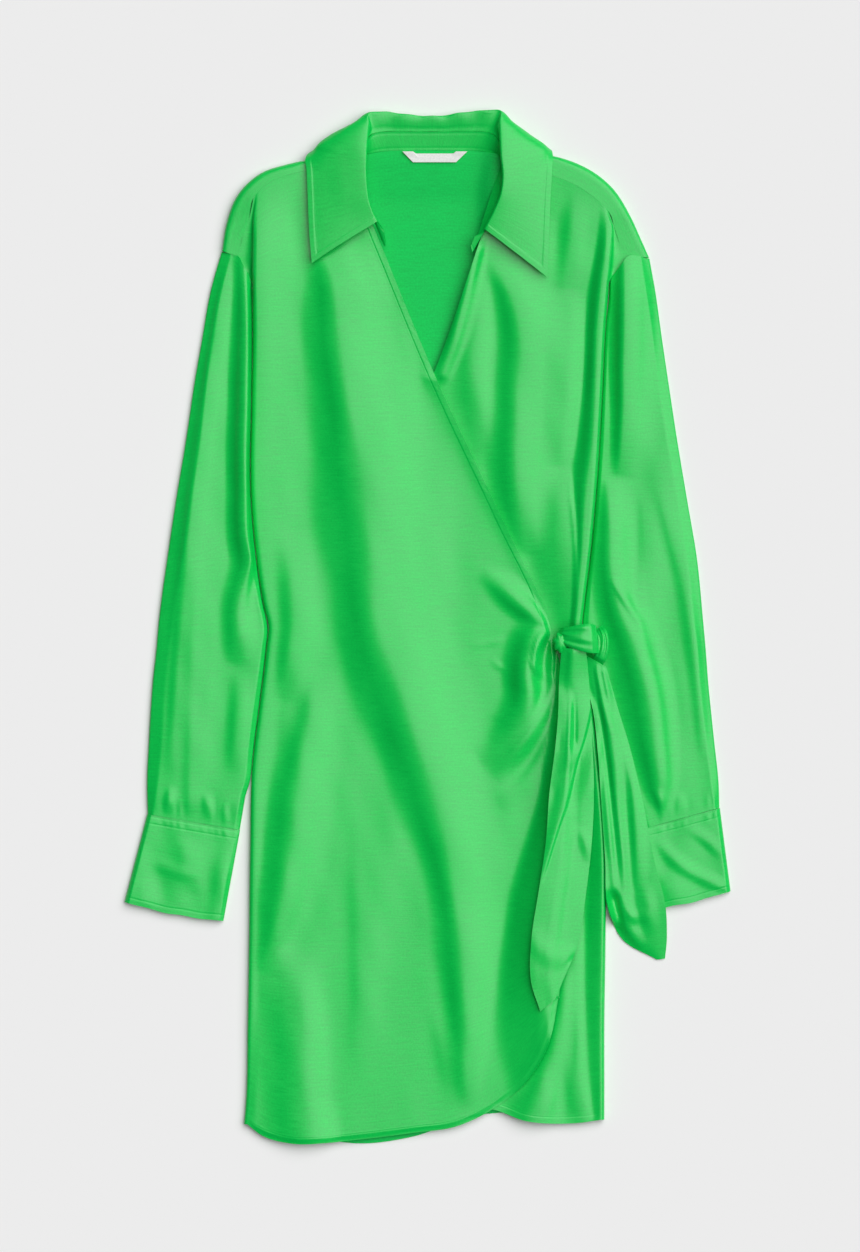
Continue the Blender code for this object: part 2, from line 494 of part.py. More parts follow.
def add_object(name, mesh, finish, wall=None):
    """Link a mesh into the dress's collection, with a wall on its inner side."""
    made = bpy.data.objects.new(name, mesh)
    bpy.data.collections["wrap_dress"].objects.link(made)
    mesh.materials.append(finish)
    mesh.shade_smooth()
    if wall:
        shell = made.modifiers.new("wall", "SOLIDIFY")
        shell.thickness = wall * MM
        shell.offset = -1.0
    return made


def sheet(name, grids, finish, wall=CLOTH, flip=False, ring=False):
    """Cloth piece from grids of points, rows by columns by three, that share touching rows.

    The outer face looks up where rows run down the dress and columns to the right. flip
    turns it over, and ring joins the last column to the first.
    """
    made = bmesh.new()
    for grid in grids:
        rows, columns = grid.shape[:2]
        verts = [[made.verts.new(grid[i, j] * MM) for j in range(columns)] for i in range(rows)]
        for i in range(rows - 1):
            for j in range(columns if ring else columns - 1):
                k = (j + 1) % columns
                corners = [verts[i][j], verts[i + 1][j], verts[i + 1][k], verts[i][k]]
                made.faces.new(corners[::-1] if flip else corners)
    bmesh.ops.remove_doubles(made, verts=made.verts, dist=0.00001)
    mesh = bpy.data.meshes.new(name)
    made.to_mesh(mesh)
    made.free()
    return add_object(name, mesh, finish, wall)


def with_height(flat, height):
    """Points of a flat grid lifted to a height."""
    return np.dstack([flat, np.broadcast_to(height, flat.shape[:2])])


# ---------------------------------------------------------------- body
def side_roll(crest, out, radius, foot, wrap):
    """Points from the foot round the roll towards its top, for each row of the crest.

    wrap is the share of the half turn that a row makes. A row that makes it all also runs in.
    """
    whole = np.append(ROLL_STEPS, np.arange(ROLL_STEPS, 0, -1)) / ROLL_STEPS
    partial = np.arange(ROLL_STEPS + 1, 0, -1) / (ROLL_STEPS + 1)
    wrap = wrap[:, None]
    angle = math.pi * np.where(wrap < 1, wrap * partial, whole)
    middle, half = (crest[:, 2:] + foot) / 2, (crest[:, 2:] - foot) / 2
    reach = radius[:, None] * np.sin(angle)
    reach[:, :1] -= SEAM_RUN * (wrap == 1)
    flat = crest[:, None, :2] + out[:, None] * reach[..., None]
    return with_height(flat, middle + half * np.cos(angle))


def strip_edge(side):
    """Outer edge of the strip beside the fold, from the shoulder seam's crease to the underarm."""
    crease = shoulder_shares(side)[3]
    edge = np.vstack([on_shoulder_seam(side, np.linspace(crease, 0, 4)), ARMHOLE[side]])
    edge[1:, 0] -= side * SEAM_GAP
    return edge


def armhole_strip(side, crest, radius):
    """The same points where the cloth drops from the fold to a strip out to the armhole."""
    outer = strip_edge(side)
    lip = crest.copy()
    lip[:, 0] += side * radius
    points = lip[:, None] + np.array(STRIP_REACH)[:, None] * (outer - lip)[:, None]
    points[..., 2] = crest[:, 2, None] + np.array(STRIP_DROP) * (outer[:, 2] - crest[:, 2])[:, None]
    points[:, -1, 0] = crest[:, 0] + side * radius * 0.5
    return points


def column_shares(start, end, columns):
    """Places of the lower front's columns across its rows, closer where it shows."""
    seen = np.full(len(start), 0.6)
    for _ in range(4):
        y = start[:, 1] + seen * (end - start)[:, 1]
        seen = np.clip((start[:, 0] - shown_from(y) + SHOWN_RUN) / (start - end)[:, 0], 0.1, 0.7)
    place = np.arange(columns)
    front = np.minimum(place, SHOWN_COLUMNS) / SHOWN_COLUMNS
    behind = np.maximum(place - SHOWN_COLUMNS, 0) / (columns - 1 - SHOWN_COLUMNS)
    return seen[:, None] * front + (1 - seen[:, None]) * behind


def front_grid(side, free, hem, height, columns):
    """Points of a front, shoulder to hem, from the side seam round the roll to the free edge."""
    crease = shoulder_shares(side)[3]
    fold_end = crease + CREASE_START * (1 - crease)
    top_line = on_shoulder_seam(side, np.linspace(fold_end, 1, columns))
    top_line[:, 1] -= SEAM_GAP
    hem = np.array(hem)[::-side]
    strip_y = np.append(strip_edge(side)[:, 1], UNDERARM)
    neck_y = np.linspace(free[0][1], UNDERARM, STRIP_ROWS + 1)
    side_y = np.concatenate([strip_y, LEVELS, np.linspace(LEVELS[-1], hem[0, 1], HEM_ROWS + 1)[1:]])
    edge_y = np.concatenate([neck_y, LEVELS, np.linspace(LEVELS[-1], free[-1][1], HEM_ROWS + 1)[1:]])
    left, right, left_top, right_top = side_at(side_y)
    body, top = (left, left_top) if side < 0 else (right, right_top)
    radius = (top - FLOOR_GAP) / 2
    start = np.column_stack([body - side * radius, side_y])
    start[0] = top_line[0, :2]
    end = np.column_stack([across_at(free, edge_y), edge_y])
    share = np.linspace(0, 1, columns)
    if side > 0:
        spread = column_shares(start, end, columns)
    else:
        spread = np.tile(share, (len(start), 1))
    flat = start[:, None] + (end - start)[:, None] * spread[..., None]
    rows = len(side_y)
    pull = np.zeros((rows, 1, 1))
    pull[:STRIP_ROWS + 1, 0, 0] = np.linspace(1, 0, STRIP_ROWS + 1)
    hem_line = trace(np.vstack([start[-1], hem[1:-1], end[-1]]), spread[-1])
    flat = flat + pull * (top_line[:, :2] - flat[0])
    pull[:, 0, 0] = np.concatenate([np.zeros(rows - HEM_ROWS - 1), np.linspace(0, 1, HEM_ROWS + 1)])
    flat = flat + pull * (hem_line - flat[-1])
    z = height(flat[..., 0], flat[..., 1])
    settle = np.zeros((rows, 1))
    settle[:len(TOP_SETTLE), 0] = TOP_SETTLE
    panel = with_height(flat, z + settle * (top_line[:, 2] - z))
    out = np.tile([float(side), 0.0], (rows, 1))
    wrap = np.ones(rows)
    wrap[STRIP_ROWS:STRIP_ROWS + len(UNDERARM_WRAP)] = UNDERARM_WRAP
    turned = side_roll(panel[:, 0], out, radius, FLOOR_GAP, wrap)
    turned[:STRIP_ROWS] = armhole_strip(side, panel[:STRIP_ROWS, 0], radius[:STRIP_ROWS])
    turned[0] = on_shoulder_seam(side, np.linspace(crease, fold_end, ROLL_STEPS + 2)[:-1])
    turned[0, :, 1] -= SEAM_GAP
    return np.concatenate([turned, panel], axis=1)


def shoulder_roll(side):
    """The back from its foot at one shoulder, round the silhouette, to the forward seam."""
    share = shoulder_shares(side)
    outline = trace(SHOULDER_LINE[side], share)
    seam = trace(SHOULDER_SEAM[side], share)
    inward = unit(seam[:, :2] - outline)
    foot = back_foot(*(outline + 6 * inward).T)
    radius = (seam[:, 2] - foot) / 2
    crest = np.column_stack([outline + inward * radius[:, None], seam[:, 2]])
    turned = side_roll(crest, -inward, radius, foot[:, None], np.ones(len(share)))[:, 1:]
    near = seam.copy()
    near[:, :2] -= SEAM_GAP * inward
    half = (crest + near) / 2
    columns = np.concatenate([turned, crest[:, None], half[:, None], near[:, None]], axis=1)
    return columns.swapaxes(0, 1)


def back_grids():
    """Points of the back: the part on the floor, then the two shoulders that roll forward."""
    left_roll, right_roll = shoulder_roll(-1), shoulder_roll(1)[:, ::-1]
    neck_line = np.vstack([left_roll[0, -1, :2], NECKLINE, right_roll[0, 0, :2]])
    neck = trace(neck_line, np.linspace(0, 1, NECK_COLUMNS + 1))[1:-1]
    top_line = np.vstack([left_roll[0, :, :2], neck, right_roll[0, :, :2]])
    columns = len(top_line)
    arm_left = np.vstack([left_roll[0, 0, :2], BACK_ARM[-1]])
    arm_right = np.vstack([right_roll[0, -1, :2], BACK_ARM[1]])
    y = np.array(BACK_LEVELS, float)
    left, right, left_top, right_top = side_at(y)
    run_in = SEAM_RUN + 2 * SEAM_GAP
    left_x = left + (left_top - FLOOR_GAP) / 2 + run_in
    right_x = right - (right_top - FLOOR_GAP) / 2 - run_in
    left_line = np.vstack([BACK_HEM[0], np.column_stack([left_x, y]), arm_left[::-1]])
    right_line = np.vstack([BACK_HEM[-1], np.column_stack([right_x, y]), arm_right[::-1]])
    rows = len(left_line)
    share = np.linspace(0, 1, columns)
    flat = left_line[:, None] + (right_line - left_line)[:, None] * share[:, None]
    pull = np.zeros((rows, 1, 1))
    pull[-BACK_TOP_ROWS:, 0, 0] = ease(np.linspace(0, 1, BACK_TOP_ROWS))
    flat = flat + pull * (top_line - flat[-1])
    pull[:, 0, 0] = 0
    pull[:len(HEM_PULL), 0, 0] = HEM_PULL
    flat = flat + pull * (trace(BACK_HEM, share) - flat[0])
    floor = with_height(flat, back_foot(flat[..., 0], flat[..., 1]))
    floor[-1, :SHOULDER_COLUMNS] = left_roll[0]
    floor[-1, -SHOULDER_COLUMNS:] = right_roll[0]
    return [floor, left_roll, right_roll]


# ---------------------------------------------------------------- sleeves and cuffs
def tube_ring(line, rolls, top, height, faces_top=12, faces_under=6):
    """Points round a flattened tube at one place: over the top from outer to inner, and back.

    line gives the flat points at shares of the width, top is the height between folds, and
    height gives the outer face at flat points.
    """
    width = np.linalg.norm(np.diff(line(np.array([0.0, 1.0])), axis=0))
    edge = EDGE_SHARE * top
    share = 0.5 - 0.5 * np.cos(np.linspace(0, math.pi, faces_top + 1))
    over = line(share)
    rise = quarter_round(share * width / rolls[0]) * quarter_round((1 - share) * width / rolls[1])
    over = np.column_stack([over, edge + (height(*over.T) - edge) * rise])
    share = 0.5 + 0.5 * np.cos(np.linspace(0, math.pi, faces_under + 1))[1:-1]
    under = line(share)
    sink = quarter_round(share * width / UNDER_ROLL) * quarter_round((1 - share) * width / UNDER_ROLL)
    return np.vstack([over, np.column_stack([under, edge * (1 - sink)])])


def head_rise(side, share):
    """How far the armhole's line stands off the straight one between the sleeve head's ends."""
    first = SLEEVES[side][0]
    outer, inner = np.array(first[:2]), np.array(first[2:4])
    seam = [SHOULDER_LINE[side][0], SHOULDER_SEAM[side][0][:2], *(place[:2] for place in ARMHOLE[side])]
    down = unit(np.array([-(inner - outer)[1], (inner - outer)[0]]) * side)
    line = np.vstack([outer, np.array(seam[1:]) + HEAD_GAP * down, inner])
    place = chord_knots(line, 2)
    met = np.column_stack([np.interp(share, place, line[:, 0]), np.interp(share, place, line[:, 1])])
    return met - (outer + (inner - outer) * share[:, None])


def sleeve_grid(side, rows):
    """Rings of a sleeve from the armhole to the cuff."""
    rings = []
    for arm in trace(SLEEVES[side], np.linspace(0, 1, rows)):
        def line(share, ends=arm[:4], head=max(arm[7], 0)):
            straight = ends[:2] + (ends[2:] - ends[:2]) * share[:, None]
            return straight + head * head_rise(side, share)

        def height(x, y, top=arm[6]):
            return top + folds(x, y, SLEEVE_FOLDS[side])

        rings.append(tube_ring(line, arm[4:6], arm[6], height))
    return np.array(rings)


def cuff_grid(side, rows):
    """Rings of a cuff from its seam to its lower edge."""
    outer_seam, inner_seam, outer_hem, inner_hem = np.array(CUFFS[side])
    rings = []
    for down in np.linspace(0, 1, rows):
        outer = outer_seam + down * (outer_hem - outer_seam)
        inner = inner_seam + down * (inner_hem - inner_seam)

        def line(share, outer=outer, inner=inner, bow=CUFF_BOW * down):
            straight = outer + (inner - outer) * share[:, None]
            return straight - np.outer(bow * np.sin(math.pi * share), (0, 1))

        def height(x, y):
            return np.full_like(x, CUFF_TOP)

        rings.append(tube_ring(line, (CUFF_ROLL, CUFF_ROLL), CUFF_TOP, height))
    return np.array(rings)


# ---------------------------------------------------------------- ties, knot, collar, label
def resting_height(pieces, x, y, reach=6.0):
    """Highest top of the pieces round each point, or the floor."""
    depsgraph = bpy.context.evaluated_depsgraph_get()
    trees = [BVHTree.FromObject(piece, depsgraph) for piece in pieces]
    found = np.zeros(x.shape)
    offsets = [(a * reach, b * reach) for a in (-1, -0.5, 0, 0.5, 1) for b in (-1, -0.5, 0, 0.5, 1)]
    for spot in np.ndindex(x.shape):
        for dx, dy in offsets:
            for tree in trees:
                hit = tree.ray_cast(((x[spot] + dx) * MM, (y[spot] + dy) * MM, 0.1), (0, 0, -1))[0]
                if hit:
                    found[spot] = max(found[spot], hit.z / MM)
    return found


def tail_grid(tails, under, rows, columns):
    """Points of a tie's tail laid over the pieces under it."""
    table = np.array([(*tail.left, *tail.right, tail.crown) for tail in tails])
    line = trace(table, np.linspace(0, 1, rows))
    share = np.linspace(0, 1, columns)
    grid = line[:, None, :3] + (line[:, None, 3:6] - line[:, None, :3]) * share[:, None]
    height = grid[..., 2] + line[:, 6:] * np.sin(math.pi * share)
    rest = resting_height(under, grid[..., 0], grid[..., 1])
    return with_height(grid[..., :2], np.maximum(height, rest + CLOTH + TIE_GAP))


def wrap_grid(wraps, rows, columns, crown):
    """Points of a short strip of the knot, crowned across its width."""
    line = trace(wraps, np.linspace(0, 1, rows), axes=3)
    share = np.linspace(-1, 1, columns)
    flat = line[:, None, :2] + line[:, None, 3:5] * share[:, None]
    return with_height(flat, line[:, 2:3] - crown * share ** 2)


def knot_core(finish):
    """Gathered lump that the band and the loop hold."""
    made = bmesh.new()
    bmesh.ops.create_uvsphere(made, u_segments=20, v_segments=8, radius=1.0)
    for vert in made.verts:
        turn = math.atan2(vert.co.y, vert.co.x)
        flat = 1 + CORE_PLEAT_DEPTH * math.sin(CORE_PLEATS * turn) * math.hypot(vert.co.x, vert.co.y)
        vert.co.x = (CORE_CENTRE[0] + CORE_HALF[0] * vert.co.x * flat) * MM
        vert.co.y = (CORE_CENTRE[1] + CORE_HALF[1] * vert.co.y * flat) * MM
        vert.co.z = (CORE_CENTRE[2] + CORE_HALF[2] * vert.co.z) * MM
    mesh = bpy.data.meshes.new("knot_core")
    made.to_mesh(mesh)
    made.free()
    return add_object("knot_core", mesh, finish)


def collar_grid(rows, columns):
    """Points of the collar fall, from its left point round the neck to its right one."""
    lines = np.array([trace(fall, np.linspace(0, 1, columns), axes=3) for fall in COLLAR])
    grid = spline(np.arange(len(lines)), lines, np.linspace(0, len(lines) - 1, rows))
    grid[..., 2] = np.maximum(grid[..., 2], FLOOR_GAP)
    return grid


def stand_grid(rows, columns):
    """Points of the collar stand, the same way round, from the neckline up."""
    ends = spline(np.arange(len(STAND)), np.array(STAND, float), np.linspace(0, len(STAND) - 1, rows))
    return ends[:, :1] + (ends[:, 1:] - ends[:, :1]) * np.linspace(0, 1, columns)[:, None]


def label_grid():
    """Points of the folded neck label on the inside of the back."""
    share = np.linspace(0, 1, 5)
    lines = []
    for left, right, y in (LABEL_TOP, LABEL_FOOT):
        lines.append(np.column_stack([left + (right - left) * share, np.full(5, y)]))
    flat = np.linspace(lines[0], lines[1], 3)
    lift = CLOTH + 0.5 + LABEL_WALL
    return with_height(flat, back_foot(flat[..., 0], flat[..., 1]) + lift)


def build():
    """Make every piece of the dress."""
    for old in list(bpy.data.objects):
        bpy.data.objects.remove(old, do_unlink=True)
    dress = bpy.data.collections.new("wrap_dress")
    bpy.context.scene.collection.children.link(dress)
    satin = material("satin_green", (0.03, 0.62, 0.10), 0.38)
    ribbon = material("label_ribbon", (0.86, 0.86, 0.83), 0.6)

    sheet("back", back_grids(), satin)
    inner = front_grid(1, UNDER_EDGE, LOWER_HEM, lower_height, LOWER_COLUMNS)
    lower = sheet("front_inner", [inner], satin, flip=True)
    outer = front_grid(-1, WRAP_EDGE, UPPER_HEM, upper_height, UPPER_COLUMNS)
    upper = sheet("front_outer", [outer], satin)
    under = [lower, upper]
    for side, word in ((-1, "left"), (1, "right")):
        tubes = (("sleeve", sleeve_grid(side, SLEEVE_RINGS)), ("cuff", cuff_grid(side, CUFF_RINGS)))
        for kind, grid in tubes:
            under.append(sheet(f"{kind}_{word}", [grid], satin, flip=side > 0, ring=True))
    sheet("collar_stand", [stand_grid(STAND_ROWS, STAND_COLUMNS)], satin, flip=True)
    sheet("collar_leaf", [collar_grid(LEAF_ROWS, LEAF_COLUMNS)], satin)
    sheet("neck_label", [label_grid()], ribbon, wall=LABEL_WALL)
    sheet("tie_front", [tail_grid(TIE_FRONT, under, TAIL_ROWS, TAIL_COLUMNS)], satin)
    sheet("tie_side", [tail_grid(TIE_SIDE, under, TAIL_ROWS, TAIL_COLUMNS)], satin)
    knot_core(satin)
    sheet("knot_band", [wrap_grid(KNOT_BAND, WRAP_ROWS, BAND_COLUMNS, WRAP_CROWN)], satin)
    sheet("knot_loop", [wrap_grid(KNOT_LOOP, WRAP_ROWS, LOOP_COLUMNS, WRAP_CROWN)], satin)


build()
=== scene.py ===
"""Wrap dress of green satin, laid flat on its back: every cut piece as a thin cloth shell.

The tables are in millimetres and the meshes in metres. +Y runs from the hem to the collar,
+X to the right seen from above, +Z up from the floor. Left and right are as seen from above.
"""
import logging
import math
from dataclasses import dataclass, field
from enum import Enum, IntEnum
from itertools import product
from typing import Callable, NamedTuple, Sequence

import bpy
import numpy as np
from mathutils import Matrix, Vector
from mathutils.bvhtree import BVHTree


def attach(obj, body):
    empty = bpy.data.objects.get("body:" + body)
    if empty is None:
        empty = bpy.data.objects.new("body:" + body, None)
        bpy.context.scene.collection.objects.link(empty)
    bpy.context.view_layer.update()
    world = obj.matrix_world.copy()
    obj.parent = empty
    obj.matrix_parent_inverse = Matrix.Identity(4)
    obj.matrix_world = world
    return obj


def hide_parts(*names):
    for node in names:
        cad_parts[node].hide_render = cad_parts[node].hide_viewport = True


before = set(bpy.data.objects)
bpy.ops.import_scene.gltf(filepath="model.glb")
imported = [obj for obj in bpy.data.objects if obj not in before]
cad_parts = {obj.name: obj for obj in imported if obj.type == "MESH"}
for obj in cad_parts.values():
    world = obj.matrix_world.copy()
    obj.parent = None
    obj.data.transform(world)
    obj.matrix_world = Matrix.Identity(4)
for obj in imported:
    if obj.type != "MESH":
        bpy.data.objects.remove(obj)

LOG = logging.getLogger("wrap_dress")
MM = 0.001
WELD = 0.00001      # metres within which two corners are one
ABOVE_ALL = 0.1     # metres over the floor, clear of every piece
SEAM_GAP = 0.06     # between two pieces at a seam
FLOOR_GAP = 0.1     # under the rolled side seams
Array = np.ndarray
Height = Callable[[Array, Array], Array]
Flat = tuple[float, float]
Point = tuple[float, float, float]
Size = tuple[int, int]
Material = bpy.types.Material
Piece = bpy.types.Object
Socket = bpy.types.NodeSocket
NodeTree = bpy.types.ShaderNodeTree


class Side(IntEnum):
    """The two sides of the dress, seen from above."""

    LEFT = -1
    RIGHT = 1


class Slot(Enum):
    """Material slots of the record."""

    SATIN = "satin_green"
    RIBBON = "label_ribbon"


class Held(Enum):
    """How a piece of cloth is held."""

    LAID = "laid"
    FOLDED = "folded"
    GATHERED = "gathered"


# -------- sizes, in millimetres
class SideRow(NamedTuple):
    """Both sides of the body at one y, and how high their rolls stand."""

    y: float
    left: float
    right: float
    left_top: float
    right_top: float


class Rise(NamedTuple):
    """How far in from each side the fronts start to rise to their rolls, and where they end it."""

    y: float
    left_start: float
    left_end: float
    right_start: float
    right_end: float


class Seam(NamedTuple):
    """One point of a seam."""

    x: float
    y: float
    z: float


class Crest(NamedTuple):
    """One place on a fold's crest: the widths of its two slopes, and its height."""

    x: float
    y: float
    left: float
    right: float
    height: float


def ridge(*rows: tuple[float, ...]) -> tuple[Crest, ...]:
    """One fold's ridge from rows of x, y, left width, right width and height."""
    return tuple(Crest(*row) for row in rows)


class Arm(NamedTuple):
    """A sleeve's flattened ring: its two edges, their rolls, its height, its share of the head."""

    outer_x: float
    outer_y: float
    inner_x: float
    inner_y: float
    outer_roll: float
    inner_roll: float
    top: float
    head: float


class CuffCorners(NamedTuple):
    """The corners of a flattened cuff."""

    outer_seam: Flat
    inner_seam: Flat
    outer_hem: Flat
    inner_hem: Flat


class Tail(NamedTuple):
    """One place along a tie: its left edge, its right edge, and the crown between them."""

    left: Point
    right: Point
    crown: float


class Fall(NamedTuple):
    """One place round the collar fall, from its seam over the fold to its free edge."""

    seam: Point
    fold: Point
    top: Point
    mid: Point
    low: Point
    edge: Point


class Stand(NamedTuple):
    """One place round the collar stand: on the neckline, and at its top."""

    foot: Point
    top: Point


class Wrap(NamedTuple):
    """One place along a strip of the knot: its centre, and half its width across."""

    x: float
    y: float
    z: float
    half_x: float
    half_y: float


class Ramp(NamedTuple):
    """A smooth change from 0 to 1: where it starts, and its run, below zero towards lower places."""

    start: float
    run: float

    def at(self, place: Array) -> Array:
        """Share of the change at a place."""
        return ease((place - self.start) / self.run)


class Lift(NamedTuple):
    """A raised place: its height, its ramp along the dress, and its ramp across it."""

    height: float
    along: Ramp
    across: Ramp

    def at(self, y: Array, across: Array) -> Array:
        """Height that it adds at places."""
        return self.height * self.along.at(y) * self.across.at(across)


@dataclass(frozen=True)
class Cut:
    """The flat size a piece is cut to, in metres, and how it is held."""

    width: float
    length: float
    area: float
    held: Held = Held.LAID
    rests_on: tuple[str, ...] = ()


SIDES = (
    SideRow(378, -152.7, 162.8, 11.5, 11.5), SideRow(345, -153.4, 162.8, 13.5, 13.5),
    SideRow(307, -154.0, 160.2, 13.0, 14.0), SideRow(260, -153.6, 156.4, 11.0, 14.0),
    SideRow(199, -154.4, 153.4, 9.0, 14.0), SideRow(119, -155.3, 148.5, 8.6, 13.5),
    SideRow(65, -151.0, 143.5, 8.4, 13.0), SideRow(19, -144.3, 138.0, 8.2, 12.5),
    SideRow(-1, -140.0, 136.0, 8.2, 12.0), SideRow(-18, -141.5, 138.0, 8.2, 12.0),
    SideRow(-67, -147.4, 144.8, 7.6, 12.0), SideRow(-121, -154.0, 150.8, 7.2, 11.5),
    SideRow(-197, -156.2, 156.5, 7.0, 11.0), SideRow(-276, -157.1, 156.6, 6.6, 11.0),
    SideRow(-350, -158.3, 155.6, 6.6, 10.5), SideRow(-417, -159.7, 155.6, 6.0, 9.0),
    SideRow(-460, -163.5, 155.4, 5.6, 8.0),
)
SIDE_RISES = (
    Rise(410, 30, 4, 10, 4), Rise(340, 44, 4, 14, 5), Rise(300, 46, 4, 18, 7), Rise(220, 46, 4, 18, 7.5),
    Rise(160, 46, 4, 21, 7), Rise(120, 44, 4, 25, 9), Rise(60, 36, 4, 16, 8), Rise(20, 24, 4, 12, 6),
    Rise(-40, 20, 4, 12, 5), Rise(-120, 22, 4, 16, 1.5), Rise(-220, 12, 4, 18, 1.5),
    Rise(-300, 10, 4, 21, 1.5), Rise(-400, 8, 4, 16, 1.5), Rise(-460, 8, 3, 8, 1.5),
)
WRAP_EDGE = (
    (-66.5, 406.6), (-57.0, 380.0), (-48.0, 352.0), (-41.0, 335.0), (7.5, 218.0), (64.0, 97.5),
    (107.5, 1.0), (114.0, -25.0), (122.0, -109.0), (124.5, -197.0), (121.0, -285.0), (115.0, -326.0),
)
UNDER_EDGE = (
    (66.5, 407.1), (58.5, 385.0), (50.5, 352.0), (42.5, 328.0), (6.0, 223.5), (-42.0, 120.0),
    (-112.0, -12.0), (-121.0, -109.0), (-123.5, -197.0), (-120.0, -285.0), (-113.0, -330.0),
)
UPPER_HEM = (
    (-163.0, -438.0), (-145.5, -448.0), (-120.0, -454.8), (-90.0, -454.4), (-59.0, -451.4),
    (-12.0, -445.5), (25.0, -440.0), (56.0, -425.5), (86.5, -400.5), (107.0, -364.0), (115.0, -326.0),
)
LOWER_HEM = (
    (-113.0, -330.0), (-90.0, -385.0), (-55.0, -416.0), (-24.0, -431.0), (20.0, -428.0),
    (56.0, -425.0), (86.5, -435.0), (111.0, -437.4), (136.0, -436.5), (154.5, -434.0),
)
BACK_HEM = (
    (-150.0, -437.0), (-100.0, -450.0), (-59.0, -455.2), (-12.0, -449.0), (40.0, -431.0),
    (100.0, -428.0), (145.0, -429.0),
)
HEM_RISE = 0.3          # how much the doubled cloth of a hem stands up
HEM_STEP = Ramp(0.2, 0.9)   # from its stitches to the single cloth
STITCH_DENT = 0.35      # how deep a row of stitches draws the cloth in
STITCH_REACH = 0.55
UNDERARM = 302.0
CROSSING_Y = 218.0      # where the two fronts' neck edges cross
NECK_MIDDLE = 2.0
CREASE = 3              # row of a shoulder seam where the fold that edges the body starts
SHOULDER_LINE = {
    Side.LEFT: ((-180.8, 329.8), (-177.3, 352.0), (-166.8, 379.3), (-145.6, 398.6), (-125.4, 405.4),
                (-106.0, 409.3), (-90.0, 410.0), (-66.5, 412.0)),
    Side.RIGHT: ((194.9, 324.0), (187.9, 339.7), (178.2, 360.8), (162.4, 385.4), (149.2, 396.9),
                 (129.8, 407.4), (108.7, 413.5), (66.5, 413.5)),
}
SHOULDER_SEAM = {
    Side.LEFT: (Seam(-166.2, 324.6, 7.2), Seam(-163.6, 338.0, 7.6), Seam(-157.5, 355.0, 8.6),
                Seam(-152.7, 376.6, 10.2), Seam(-136.8, 390.7, 10.7), Seam(-118.0, 397.5, 10.7),
                Seam(-104.3, 400.5, 10.2), Seam(-66.5, 407.0, 9.0)),
    Side.RIGHT: (Seam(176.5, 324.8, 7.2), Seam(170.5, 333.0, 7.6), Seam(165.0, 347.6, 8.6),
                 Seam(160.0, 363.0, 10.2), Seam(149.2, 374.0, 10.7), Seam(128.0, 388.5, 10.7),
                 Seam(109.6, 395.5, 10.2), Seam(66.5, 407.5, 9.0)),
}
ARMHOLE = {
    Side.LEFT: (Seam(-162.8, 317.6, 6.8), Seam(-158.6, 309.6, 6.4)),
    Side.RIGHT: (Seam(171.2, 317.8, 6.8), Seam(165.6, 309.8, 6.4)),
}
BACK_ARMHOLE = {
    Side.LEFT: ((-142.6, 301.0), (-151.0, 313.0), (-163.0, 324.0)),
    Side.RIGHT: ((147.4, 301.0), (157.5, 313.5), (172.0, 325.0)),
}
NECKLINE = ((-58.0, 414.0), (-40.0, 417.0), (2.0, 418.0), (44.0, 417.5), (58.0, 415.5))

